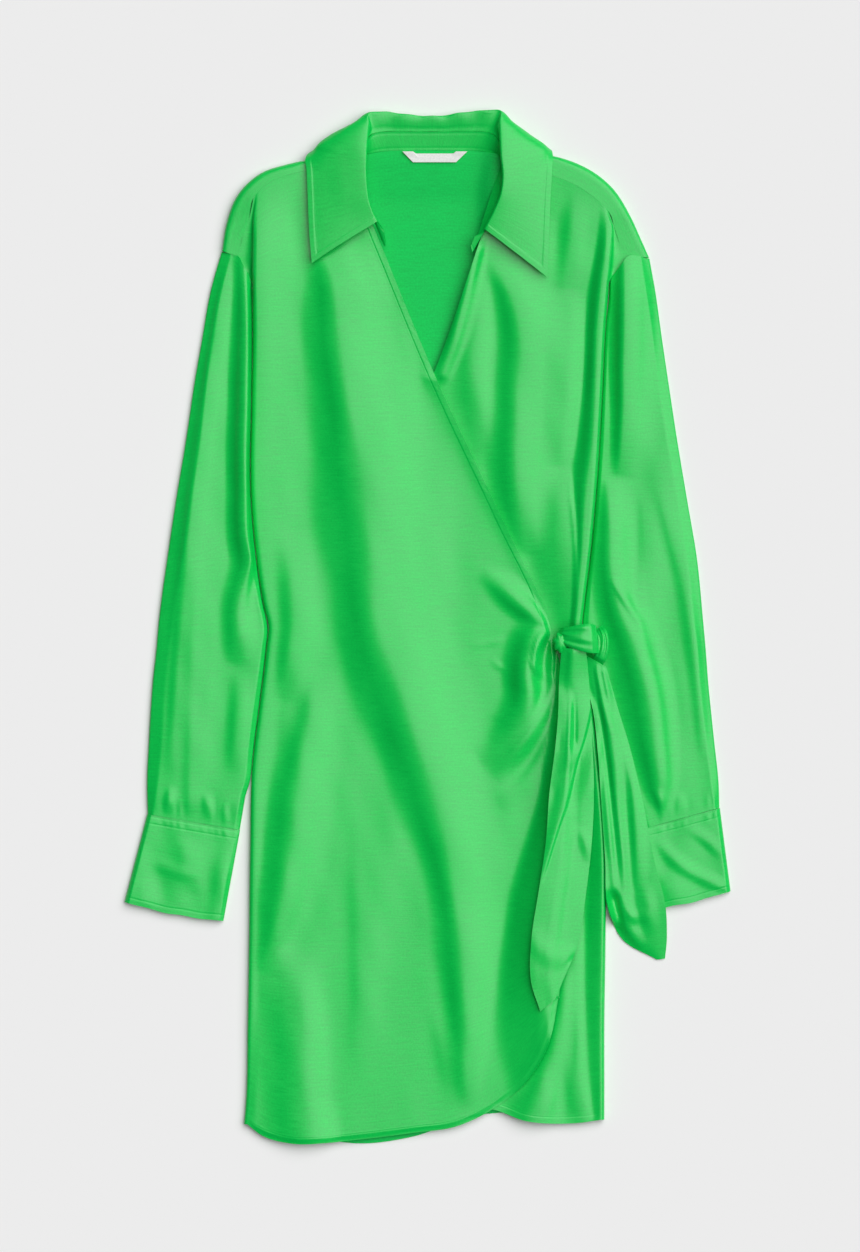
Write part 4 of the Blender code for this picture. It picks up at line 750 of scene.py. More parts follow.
def hem_height(far: Array, width: float) -> Array:
    """Rise of a turned hem near its free edge, with the dent of the stitches at its width."""
    inside = far - width
    return HEM_RISE * (1 - HEM_STEP.at(inside)) - STITCH_DENT * bump(inside, 0, STITCH_REACH)


# -------- how the cloth lies
class FoldTable:
    """Rounded ridges and troughs of one layer of cloth, each along its crest."""

    REACH = 8       # parts of a crest for each of its rows
    SPREAD = 1.3    # how much wider a slope is than the band that looks dark on it
    SHIFT = 0.13    # how far its crest stands beyond that band

    def __init__(self, folds: dict[str, tuple[Crest, ...]], crown: float = 0.42,
                 foot: float = 0.6) -> None:
        """Trace every crest once.

        Args:
            folds: Crests by the name of their fold.
            crown: Share of a slope that is rounded at its crest.
            foot: Share of a slope that is rounded at its foot.
        """
        self.crown, self.foot = crown, foot
        self.paths = [trace(rows, np.linspace(0, 1, self.REACH * len(rows))) for rows in folds.values()]
        for path in self.paths:
            path[:, 0] += self.SHIFT * path[:, 2]
            path[:, 2:4] *= self.SPREAD

    def height(self, x: Array, y: Array) -> Array:
        """Height that all folds add at flat points.

        Args:
            x: Places across.
            y: Places along.

        Returns:
            Heights, in the shape that x and y share.
        """
        shape = np.broadcast(x, y).shape
        x, y = np.broadcast_to(x, shape).ravel(), np.broadcast_to(y, shape).ravel()
        total = np.zeros(len(x))
        for path in self.paths:
            wide = path[:, 2:4].max()
            near = ((x > path[:, 0].min() - wide) & (x < path[:, 0].max() + wide)
                    & (y > path[:, 1].min() - wide) & (y < path[:, 1].max() + wide))
            total[near] += self.one(path, x[near], y[near])
        return total.reshape(shape)

    def one(self, path: Array, x: Array, y: Array) -> Array:
        """Height of one fold: two even flanks whose widths differ.

        Args:
            path: Rows of its crest, with the columns of Crest.
            x: Places across.
            y: Places along.

        Returns:
            One height for each place.
        """
        away, along, right = project(path, x, y)
        row, near = np.arange(len(x)), np.argmin(away, axis=-1)
        here = Crest(*(path[near] + along[row, near][:, None] * np.diff(path, axis=0)[near]).T)
        width = np.where(right[row, near], here.right, here.left)
        return here.height * (1 - flank(away[row, near] / width, self.crown, self.foot))


@dataclass
class BodyForm:
    """Heights of the body's layers over the floor, and the ramps over which they change."""

    cloth: float = 1.2          # wall of one piece
    lay_gap: float = 0.9        # between two layers that lie on each other
    hem_gap: Ramp = Ramp(-250, -60)         # it doubles towards the hem
    meeting: float = 1.5        # how sharply the upper front comes down on the lower one
    roll_reach: float = 3.4     # how far a rolled side bulges out from its crest

    front_base: float = 6.4     # a front between its folds
    neck_rise: float = 1.8      # more round the neck
    neck: Ramp = Ramp(250, 80)
    upper: FoldTable = field(default_factory=lambda: FoldTable(UPPER_FOLDS))
    wall: FoldTable = field(default_factory=lambda: FoldTable(WALL_FOLDS, 0.18, 0.3))
    lower: FoldTable = field(default_factory=lambda: FoldTable(LOWER_FOLDS))
    lower_drift: float = 40.0   # sets its unevenness apart from the upper front's

    hidden_top: float = 4.2     # lower front where the upper one covers it
    crossing_rise: float = 2.4  # more above the crossing
    crossing: Ramp = Ramp(CROSSING_Y, 40)
    shown: Ramp = Ramp(-22, 24)             # across, from where the lower front shows
    edge_sink: float = 1.2      # it lies this much lower beside the wrap edge
    sink_across: Ramp = Ramp(2, 40)
    sink_along: Ramp = Ramp(228, -40)

    covered: Ramp = Ramp(-30, 30)           # across, from the lower front's hidden edge
    edge_run: float = 16.0      # the upper front settles to its free edge over this width
    knot_run: float = 5.0       # and over this one beside the knot
    knot_y: float = -20.0
    knot_reach: float = 60.0
    rim_lift: float = 0.6       # the free edge over what is under it
    band: float = 5.6           # width of the turned hems
    pucker: float = 0.12        # along their stitches
    pucker_reach: float = 7.0
    pucker_pace: float = 1.1
    hem_droop: float = 1.6      # how far the curved hem bends down towards its edge
    droop_across: Ramp = Ramp(0, 6.5)
    droop_along: Ramp = Ramp(-290, -50)

    over_fall: Lift = Lift(2.4, Ramp(372, 18), Ramp(118, -8))   # the back, over the collar fall
    at_neckline: Lift = Lift(3.6, Ramp(384, 34), Ramp(66, -12))
    right_of_neck: Lift = Lift(6.4, Ramp(318, 40), Ramp(42, 17))
    right_end: Ramp = Ramp(96, -24)

    upper_line: Array = field(default_factory=lambda: np.vstack(
        [outline(WRAP_EDGE, 60), outline(UPPER_HEM[::-1], 60)]))
    lower_neck: Array = field(default_factory=lambda: outline(UNDER_EDGE[:5], 30))
    lower_hem: Array = field(default_factory=lambda: outline(LOWER_HEM[4:], 30))

    def lower_far(self, x: Array, y: Array) -> Array:
        """Distance from the lower front's neck edge or hem, whichever is nearer."""
        return np.minimum(distance_to(self.lower_neck, x, y), distance_to(self.lower_hem, x, y))

    def roll_radius(self, top: Array) -> Array:
        """Flat width of a side roll of that height."""
        return np.minimum((top - FLOOR_GAP) / 2, self.roll_reach)

    def base(self, y: Array) -> Array:
        """Outer face of a front between its folds."""
        return self.front_base + self.neck_rise * self.neck.at(y)

    @staticmethod
    def shown_from(y: Array) -> Array:
        """The x right of which the lower front shows.

        Args:
            y: Places along the dress.

        Returns:
            Its own edge above the crossing, and the upper front's edge under it.
        """
        wrap = {place for place in WRAP_EDGE if place[1] <= CROSSING_Y}
        hem = {place for place in UPPER_HEM if place[0] > 20}
        return np.where(y > CROSSING_Y, across_at(UNDER_EDGE[:6], y), across_at(wrap | hem, y))

    def lower_height(self, x: Array, y: Array) -> Array:
        """Outer face of the lower front.

        Args:
            x: Places across.
            y: Places along.

        Returns:
            Heights over the floor.
        """
        inside = x - self.shown_from(y)
        shown = self.shown.at(inside)
        low = self.hidden_top + self.crossing_rise * self.crossing.at(y)
        sink = self.edge_sink * (1 - self.sink_across.at(inside)) * self.sink_along.at(y)
        open_face = self.base(y) - sink + drift(x, y + self.lower_drift) - low + self.lower.height(x, y)
        height = low + shown * open_face + shown * hem_height(self.lower_far(x, y), self.band)
        _, right, _, top = columns_at(SIDES, y)
        _, _, first, last = columns_at(SIDE_RISES, y)
        return height + flank((x - right + first) / (first - last)) * (top - height)

    def upper_height(self, x: Array, y: Array) -> Array:
        """Outer face of the upper front, clear of the lower one under it.

        Args:
            x: Places across.
            y: Places along.

        Returns:
            Heights over the floor.
        """
        height = self.base(y) + self.upper.height(x, y) + drift(x, y)
        covered = self.covered.at(x - across_at(UNDER_EDGE, y))
        clear = self.cloth + self.lay_gap * (1 + self.hem_gap.at(y))
        least = covered * (self.lower_height(x, y) + clear) + (1 - covered) * self.hidden_top
        height = least + np.logaddexp(0, self.meeting * (height - least)) / self.meeting
        run = self.edge_run - (self.edge_run - self.knot_run) * bump(y, self.knot_y, self.knot_reach)
        from_edge = ease((across_at(WRAP_EDGE, y) - x) / run)
        rim = np.where(y > CROSSING_Y, self.base(y), least) + self.rim_lift
        height = rim + (height - rim) * np.where(y < WRAP_EDGE[-1][1], 1, from_edge)
        far = distance_to(self.upper_line, x, y)
        pucker = self.pucker * bump(far, 0, self.pucker_reach) * uneven(self.pucker_pace * (x - y))
        droop = self.hem_droop * (1 - self.droop_across.at(far)) * self.droop_along.at(y)
        height = height + hem_height(far, self.band) + pucker + self.wall.height(x, y) - droop
        left, _, top, _ = columns_at(SIDES, y)
        first, last, _, _ = columns_at(SIDE_RISES, y)
        return height + flank((left + first - x) / (first - last)) * (top - height)

    def back_foot(self, x: Array, y: Array) -> Array:
        """Outer face of the back on the floor, lifted over the collar fall.

        Args:
            x: Places across.
            y: Places along.

        Returns:
            Heights over the floor.
        """
        out = np.abs(x - NECK_MIDDLE)
        right = self.right_of_neck.at(y, x) * self.right_end.at(x)
        return self.over_fall.at(y, out) + np.maximum(self.at_neckline.at(y, out), right)


# -------- meshes
@dataclass
class Grid:
    """Points of one cloth face, rows by columns, and how its faces are wound."""

    points: Array
    ring: bool = False
    flip: bool = False

    def grain(self) -> Array:
        """Place of every point on the cut cloth.

        Returns:
            Millimetres along its rows and columns, rows by columns by two.
        """
        points = self.points
        rows, columns = points.shape[:2]
        across = np.linalg.norm(np.diff(points, axis=1), axis=2).cumsum(axis=1)
        down = np.linalg.norm(np.diff(points, axis=0), axis=2).cumsum(axis=0)
        across = np.concatenate([np.zeros((rows, 1)), across], axis=1)
        down = np.concatenate([np.zeros((1, columns)), down], axis=0)
        middle = columns // 2
        across = across - across[:, middle:middle + 1] + points[:, middle:middle + 1, 0]
        return np.dstack([across, points[0, middle, 1] - down.mean(axis=1, keepdims=True) + 0 * down])


def mesh_of(name: str, grids: Sequence[Grid]) -> bpy.types.Mesh:
    """Mesh from grids of points that share touching rows, with the grain as a UV map.

    Args:
        name: Name of the mesh.
        grids: Its faces' points in millimetres.

    Returns:
        The mesh in metres.
    """
    corners, faces, grain, first = [], [], [], 0
    for grid in grids:
        rows, columns = grid.points.shape[:2]
        number = first + np.arange(rows * columns).reshape(rows, columns)
        if grid.ring:
            number = np.concatenate([number, number[:, :1]], axis=1)
        quad = np.stack([number[:-1, :-1], number[1:, :-1], number[1:, 1:], number[:-1, 1:]], axis=-1)
        quad = quad.reshape(-1, 4)
        faces.append(quad[:, ::-1] if grid.flip else quad)
        corners.append(grid.points.reshape(-1, 3))
        grain.append(grid.grain().reshape(-1, 2))
        first += rows * columns
    corners, faces, grain = np.concatenate(corners) * MM, np.concatenate(faces), np.concatenate(grain)
    _, keep, same = np.unique(np.round(corners / WELD).astype(int), axis=0, return_index=True,
                              return_inverse=True)
    order = np.sort(keep)
    place = np.empty(len(keep), int)
    place[np.argsort(keep)] = np.arange(len(keep))
    joined = place[same.ravel()][faces]
    mesh = bpy.data.meshes.new(name)
    mesh.from_pydata(corners[order].tolist(), [], joined.tolist())
    layer = mesh.uv_layers.new(name="grain")
    loops = np.empty(len(mesh.loops), int)
    mesh.loops.foreach_get("vertex_index", loops)
    layer.uv.foreach_set("vector", (grain[faces.ravel()] * MM).astype(np.float32).ravel())
    mesh.shade_smooth()
    crisp_rims(mesh)
    return mesh


def crisp_rims(mesh: bpy.types.Mesh) -> None:
    """Mark the free edges sharp, so that a cut edge isn't shaded as a round one.

    Args:
        mesh: One face of the cloth, changed in place.
    """
    owners = np.zeros(len(mesh.edges), int)
    sides = np.empty(len(mesh.loops), int)
    mesh.loops.foreach_get("edge_index", sides)
    np.add.at(owners, sides, 1)
    sharp = mesh.attributes.new("sharp_edge", "BOOLEAN", "EDGE")
    sharp.data.foreach_set("value", owners == 1)


@dataclass
class Cloth:
    """One cut piece, named as the node it stands for: its grids, its wall and its finish."""

    name: str
    grids: Sequence[Grid]
    finish: Material
    slot: Slot = Slot.SATIN
    wall: float = 1.0
    reverse: Material | None = None

    def make(self) -> Piece:
        """Build the shell and hand it to the frame.

        Returns:
            The piece.
        """
        mesh = mesh_of(self.name, self.grids)
        mesh.materials.append(self.finish)
        mesh.materials.append(self.reverse or self.finish)
        made = bpy.data.objects.new(f"cloth_{self.name}", mesh)
        bpy.context.scene.collection.objects.link(made)
        shell = made.modifiers.new("wall", "SOLIDIFY")
        shell.material_offset = 1
        shell.thickness = self.wall * MM
        shell.offset = -1.0
        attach(made, "root")
        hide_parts(self.name)
        return made


# -------- body
@dataclass
class Body:
    """The back and the two fronts that lap over each other."""

    form: BodyForm
    finish: Material
    reverse: Material
    row_step: float = 2.6
    roll_steps: int = 9         # facets round a rolled side
    seam_run: float = 4.0       # how far a side seam runs in under the roll
    underarm_wraps: Flat = (0.6, 0.85)      # how much of a roll's turn is made just under the arm

    strip_rows: int = 6         # rows of a front from its shoulder seam to the underarm
    strip_reach: tuple[float, ...] = (1.0, 0.66, 0.34, 0.08, 0.0, 0.0)  # from the armhole to the crest
    strip_drop: tuple[float, ...] = (1.0, 1.0, 0.97, 0.8, 0.45, 0.08)
    crease_start: float = 0.07  # share of the seam over which the fold beside the strip begins
    settle: tuple[float, ...] = (1, 0.6, 0.2, 0)    # share of the seam's height in the first rows

    levels: tuple[float, ...] = (294, 285, 255, 222, 190, 158, 128, 100, 76, 55, 38, 22, 7, -8, -23, -38,
                                 -54, -71, -90, -112, -138, -168, -200, -235, -270)
    hem_rows: int = 5           # below the last level
    near_edge: tuple[float, ...] = (0, 0.8, 1.6, 2.5, 3.4, 4.2, 4.8, 5.2, 5.6, 6.0, 6.5, 7.3, 8.6)
    upper_columns: int = 104
    shown_columns: int = 54     # of the lower front
    hidden_columns: int = 16
    hidden_margin: float = 24.0     # how far in under the upper front the shown columns run

    strip_columns: int = 13     # along the shoulder seam, as far as the crease
    shoulder_columns: int = 21  # and from there to the neck
    neck_columns: int = 30
    seam_columns: int = 7       # from the shoulder's crest to its seam
    foot_inset: float = 6.0     # where the height of a shoulder's foot is read
    back_levels: tuple[float, ...] = (-400, -340, -260, -180, -110, -60, -18, -1, 19, 60, 110, 180, 240)
    back_top_rows: int = 7
    back_step: float = 9.0
    back_top_step: float = 3.0
    hem_pull: tuple[float, ...] = (1, 0.3, 0)       # how far the back's first rows follow its hem

    @staticmethod
    def crease_share(side: Side) -> float:
        """Share of a shoulder seam's length out from the armhole to its crease."""
        return chord_knots(SHOULDER_SEAM[side], 2)[CREASE]

    def fold_end(self, side: Side) -> float:
        """Share of a shoulder seam's length to where the fold beside the strip is whole."""
        crease = self.crease_share(side)
        return crease + self.crease_start * (1 - crease)

    def shoulder_shares(self, side: Side) -> Array:
        """Places along a shoulder seam, close enough for its curve, one of them the crease.

        Args:
            side: Which shoulder.

        Returns:
            Shares of the seam's length, from the armhole to the neck.
        """
        crease = self.crease_share(side)
        return np.concatenate([np.linspace(0, crease, self.strip_columns)[:-1],
                               np.linspace(crease, 1, self.shoulder_columns)])

    def strip_edge(self, side: Side) -> Array:
        """Outer edge of the strip beside the fold, from the seam's crease to the underarm.

        Args:
            side: Which shoulder.

        Returns:
            One point for each row of the strip.
        """
        seam = trace(SHOULDER_SEAM[side], np.linspace(self.crease_share(side), 0, CREASE + 1))
        edge = np.vstack([seam, ARMHOLE[side]])
        edge[1:, 0] -= side * SEAM_GAP
        return edge

    def roll_offsets(self, out: Array, height: Array, radius: Array, foot: Array, wrap: Array) -> Array:
        """Offsets from a crest round its roll, from the foot up, for each row.

        Args:
            out: Unit flat direction of the roll in each row.
            height: Height of the crest over zero.
            radius: Half the roll's height.
            foot: Height of its foot.
            wrap: Share of the half turn that each row makes.

        Returns:
            Offsets, rows by columns by three.
        """
        steps = self.roll_steps
        whole = np.append(steps, np.arange(steps, 0, -1)) / steps
        partial = np.arange(steps + 1, 0, -1) / (steps + 1)
        wrap = wrap[:, None]
        angle = math.pi * np.where(wrap < 1, wrap * partial, whole)
        half = (height - foot)[:, None] / 2
        reach = radius[:, None] * np.sin(angle)
        reach[:, :1] -= self.seam_run * (wrap == 1)
        return np.dstack([out[:, None] * reach[..., None], -half + half * np.cos(angle)])

    def strip_offsets(self, side: Side, crest: Array, radius: Array) -> Array:
        """Offsets from a crest where the cloth drops to a strip out to the armhole.

        Args:
            side: Which shoulder.
            crest: Point of the crest in each row.
            radius: Flat width of the roll there.

        Returns:
            Offsets, rows by columns by three.
        """
        outer = self.strip_edge(side)
        lip = crest.copy()
        lip[:, 0] += side * radius
        place = np.linspace(0, 1, self.roll_steps + 1)
        knots = np.linspace(0, 1, len(self.strip_reach))
        reach = np.interp(place, knots, self.strip_reach)[None, :, None]
        drop = np.interp(place, knots, self.strip_drop)
        points = lip[:, None] + reach * (outer - lip)[:, None]
        points[..., 2] = crest[:, 2, None] + drop * (outer[:, 2] - crest[:, 2])[:, None]
        points[:, -1, 0] = crest[:, 0] + side * radius * 0.5
        return points - crest[:, None]

    def upper_shares(self, start: Array, end: Array) -> Array:
        """Places of the upper front's columns: even ones, closer along the free edge.

        Args:
            start: Where each row starts, at its roll.
            end: Where it ends, at the free edge.

        Returns:
            Shares of the rows' lengths, rows by columns.
        """
        near = np.array(self.near_edge)[::-1] / np.linalg.norm(end - start, axis=1)[:, None]
        even = np.linspace(0, 1, self.upper_columns)[:-1]
        return np.concatenate([even * (1 - near[:, :1]), 1 - near], axis=1)

    def lower_shares(self, start: Array, end: Array) -> Array:
        """Places of the lower front's columns, closer where it shows.

        Args:
            start: Where each row starts, at its roll.
            end: Where it ends, at the free edge.

        Returns:
            Shares of the rows' lengths, rows by columns.
        """
        seen = np.full(len(start), 0.6)     # share that shows: a first guess, then a few rounds
        for _ in range(6):
            y = start[:, 1] + seen * (end - start)[:, 1]
            reach = (start[:, 0] - self.form.shown_from(y) + self.hidden_margin) / (start - end)[:, 0]
            seen = np.clip(reach, 0.1, 0.8)
        place = np.arange(self.shown_columns + self.hidden_columns)
        front = np.minimum(place, self.shown_columns) / self.shown_columns
        behind = np.maximum(place - self.shown_columns, 0) / (self.hidden_columns - 1)
        return seen[:, None] * front + (1 - seen[:, None]) * behind

    def front_grid(self, side: Side, free: Sequence, hem: Sequence, height: Height,
                   shares: Callable[[Array, Array], Array]) -> Array:
        """Points of a front, shoulder to hem, from the side seam round the roll to the edge.

        Args:
            side: Which side of the body the front's side seam is on.
            free: Its free edge.
            hem: Its lower edge, from left to right.
            height: Outer face at flat points.
            shares: Places of the columns from the rows' starts and ends.

        Returns:
            Points, rows by columns by three.
        """
        fold_end = self.fold_end(side)
        hem = np.array(hem)[::-side]
        strip_y = np.append(self.strip_edge(side)[:, 1], UNDERARM)
        neck_y = np.linspace(free[0][1], UNDERARM, self.strip_rows + 1)
        last = self.levels[-1]
        knots = np.concatenate([strip_y, self.levels, np.linspace(last, hem[0, 1], self.hem_rows + 1)[1:]])
        edge_knots = np.concatenate(
            [neck_y, self.levels, np.linspace(last, free[-1][1], self.hem_rows + 1)[1:]])
        at = between(knots, self.row_step)
        last_span = (last - hem[0, 1]) / self.hem_rows
        low = len(knots) - 1 - np.array(self.near_edge)[::-1] / last_span
        at = np.concatenate([at[at < low[0] - 0.04], low])
        side_y, edge_y = reread(knots, at), reread(edge_knots, at)
        body, top = self.body_edge(side, side_y)
        radius = self.form.roll_radius(top)
        start = np.column_stack([body - side * radius, side_y])
        top_start = trace(SHOULDER_SEAM[side], np.array([fold_end]))[0]
        near_top = ease(1 - at)[:, None]
        start = start + near_top * (top_start[:2] - start[0])
        end = np.column_stack([across_at(free, edge_y), edge_y])
        spread = shares(start, end)
        top_line = trace(SHOULDER_SEAM[side], fold_end + (1 - fold_end) * spread[0])
        top_line[:, 1] -= SEAM_GAP
        flat = start[:, None] + (end - start)[:, None] * spread[..., None]
        pull = np.clip(1 - at / self.strip_rows, 0, 1)[:, None, None]
        hem_line = trace(np.vstack([start[-1], hem[1:-1], end[-1]]), spread[-1])
        flat = flat + pull * (top_line[:, :2] - flat[0])
        from_hem = len(knots) - 1 - at
        pull = np.clip(1 - from_hem / self.hem_rows, 0, 1)[:, None, None]
        flat = flat + pull * (hem_line - flat[-1])
        z = height(flat[..., 0], flat[..., 1])
        settle = np.interp(at, range(len(self.settle)), self.settle)[:, None]
        panel = with_height(flat, z + settle * (top_line[:, 2] - z))
        return np.concatenate([self.turned(side, panel[:, 0], at, len(knots)), panel], axis=1)

    @staticmethod
    def body_edge(side: Side, y: Array) -> tuple[Array, Array]:
        """The silhouette's x, and the height of the roll there, on one side."""
        left, right, left_top, right_top = columns_at(SIDES, y)
        return (left, left_top) if side is Side.LEFT else (right, right_top)

    def turned(self, side: Side, crest: Array, at: Array, count: int) -> Array:
        """Points that go from the side seam, or the armhole, round to the crest of each row.

        Args:
            side: Which side of the body.
            crest: Point of the crest in each row.
            at: Number of each row, with fractions.
            count: How many whole rows there are.

        Returns:
            Points, rows by columns by three.
        """
        rows = np.arange(count)
        knots = reread_at(at, crest, rows)
        _, top = self.body_edge(side, knots[:, 1])
        radius = self.form.roll_radius(top)
        wrap = np.ones(count)
        wrap[self.strip_rows:self.strip_rows + len(self.underarm_wraps)] = self.underarm_wraps
        out = np.tile([float(side), 0.0], (count, 1))
        offsets = self.roll_offsets(out, knots[:, 2], radius, np.full(count, FLOOR_GAP), wrap)
        first = slice(0, self.strip_rows)
        offsets[first] = self.strip_offsets(side, knots[first], radius[first])
        shares = np.linspace(self.crease_share(side), self.fold_end(side), self.roll_steps + 2)[:-1]
        seam = trace(SHOULDER_SEAM[side], shares)
        seam[:, 1] -= SEAM_GAP
        offsets[0] = seam - knots[0]
        points = crest[:, None] + reread(offsets, at)
        points[..., 2] = np.maximum(points[..., 2], FLOOR_GAP)
        return points

    def shoulder_roll(self, side: Side) -> Array:
        """The back from its foot at one shoulder, round the silhouette, to the forward seam.

        Args:
            side: Which shoulder.

        Returns:
            Points in millimetres, foot to seam by armhole to neck by three.
        """
        share = self.shoulder_shares(side)
        silhouette = trace(SHOULDER_LINE[side], share)
        seam = trace(SHOULDER_SEAM[side], share)
        inward = unit(seam[:, :2] - silhouette)
        foot = self.form.back_foot(*(silhouette + self.foot_inset * inward).T)
        radius = (seam[:, 2] - foot) / 2
        crest = np.column_stack([silhouette + inward * radius[:, None], seam[:, 2]])
        offsets = self.roll_offsets(-inward, crest[:, 2], radius, foot, np.ones(len(share)))[:, 1:]
        near = seam.copy()
        near[:, :2] -= SEAM_GAP * inward
        over = np.linspace(0, 1, self.seam_columns)[:, None, None]
        flat = (1 - over) * crest + over * near
        columns = np.concatenate([crest[:, None] + offsets, flat.swapaxes(0, 1)], axis=1)
        return columns.swapaxes(0, 1)

    def back_grids(self) -> list[Grid]:
        """Lay out the back.

        Returns:
            The part on the floor, then the two shoulders that roll forward.
        """
        left_roll, right_roll = self.shoulder_roll(Side.LEFT), self.shoulder_roll(Side.RIGHT)[:, ::-1]
        neck_line = np.vstack([left_roll[0, -1, :2], NECKLINE, right_roll[0, 0, :2]])
        neck = outline(neck_line, self.neck_columns + 1)[1:-1]
        top_line = np.vstack([left_roll[0, :, :2], neck, right_roll[0, :, :2]])
        arm_left = np.vstack([BACK_ARMHOLE[Side.LEFT], left_roll[0, 0, :2]])
        arm_right = np.vstack([BACK_ARMHOLE[Side.RIGHT], right_roll[0, -1, :2]])
        y = np.array(self.back_levels, float)
        left, right, left_top, right_top = columns_at(SIDES, y)
        run_in = self.seam_run + 2 * SEAM_GAP
        left_x = left + self.form.roll_radius(left_top) + run_in
        right_x = right - self.form.roll_radius(right_top) - run_in
        left_line = np.vstack([BACK_HEM[0], np.column_stack([left_x, y]), arm_left])
        right_line = np.vstack([BACK_HEM[-1], np.column_stack([right_x, y]), arm_right])
        rows = len(left_line)
        coarse = len(y) - 1
        at = np.concatenate([between(left_line[:coarse + 1, 1], self.back_step)[:-1],
                             coarse + between(left_line[coarse:, 1], self.back_top_step)])
        left_line, right_line = reread(left_line, at), reread(right_line, at)
        share = np.linspace(0, 1, len(top_line))
        flat = left_line[:, None] + (right_line - left_line)[:, None] * share[:, None]
        pull = ease(np.clip((at - (rows - self.back_top_rows)) / (self.back_top_rows - 1), 0, 1))
        flat = flat + pull[:, None, None] * (top_line - flat[-1])
        pull = np.interp(at, range(len(self.hem_pull)), self.hem_pull)
        flat = flat + pull[:, None, None] * (trace(BACK_HEM, share) - flat[0])
        floor = with_height(flat, self.form.back_foot(flat[..., 0], flat[..., 1]))
        floor[-1, :left_roll.shape[1]] = left_roll[0]
        floor[-1, -right_roll.shape[1]:] = right_roll[0]
        return [Grid(floor), Grid(left_roll), Grid(right_roll)]

    def build(self) -> list[Piece]:
        """Make the back and both fronts.

        Returns:
            The back, the lower front and the upper one.
        """
        inner = self.front_grid(Side.RIGHT, UNDER_EDGE, LOWER_HEM, self.form.lower_height,
                                self.lower_shares)
        outer = self.front_grid(Side.LEFT, WRAP_EDGE, UPPER_HEM, self.form.upper_height,
                                self.upper_shares)
        grids = {"back": self.back_grids(), "front_inner": [Grid(inner, flip=True)],
                 "front_outer": [Grid(outer)]}
        return [Cloth(name, shape, self.finish, reverse=self.reverse).make()
                for name, shape in grids.items()]


def reread_at(at: Array, rows: Array, places: Array) -> Array:
    """Rows that stand at row numbers with fractions, read at whole row numbers."""
    return np.column_stack([np.interp(places, at, column) for column in rows.T])


# -------- sleeves and cuffs
@dataclass
class Tube:
    """A flattened tube of cloth: rings over the top from the outer edge, and back under."""

    outer_edge: float = 2.6     # height of the outer and of the inner edge
    inner_edge: float = 4.2
    faces_top: int = 72
    faces_under: int = 16
    edge_bias: float = 0.6      # how much closer the points lie towards the edges
    turn: float = 1.3           # radius of the edges' turn
    step: float = 0.3           # share of an edge's rise within its turn
    under_roll: float = 4.0     # width over which the under side comes down to the floor

    def edge_rise(self, far: Array, roll: float) -> Array:
        """Share of the full height at a distance from an edge: a tight turn, then an even slope."""
        slope = flank(far / roll, top=0.1, foot=0.2)
        return self.step * quarter_round(far / self.turn) + (1 - self.step) * slope

    def ring(self, line: Callable[[Array], Array], rolls: Sequence[float], height: Height) -> Array:
        """Points round the tube at one place.

        Args:
            line: Flat points at shares of the width.
            rolls: Widths of the outer and the inner roll.
            height: Outer face at flat points.

        Returns:
            Points in millimetres.
        """
        width = np.linalg.norm(np.diff(line(np.array([0.0, 1.0])), axis=0))
        even = np.linspace(0, 1, self.faces_top + 1)
        share = self.edge_bias * (0.5 - 0.5 * np.cos(math.pi * even)) + (1 - self.edge_bias) * even
        over = line(share)
        edge = self.outer_edge + (self.inner_edge - self.outer_edge) * ease(share)
        rise = self.edge_rise(share * width, rolls[0]) * self.edge_rise((1 - share) * width, rolls[1])
        over = np.column_stack([over, edge + (height(*over.T) - edge) * rise])
        share = 0.5 + 0.5 * np.cos(np.linspace(0, math.pi, self.faces_under + 1))[1:-1]
        under = line(share)
        edge = self.outer_edge + (self.inner_edge - self.outer_edge) * ease(share)
        sink = (quarter_round(share * width / self.under_roll)
                * quarter_round((1 - share) * width / self.under_roll))
        return np.vstack([over, np.column_stack([under, edge * (1 - sink)])])


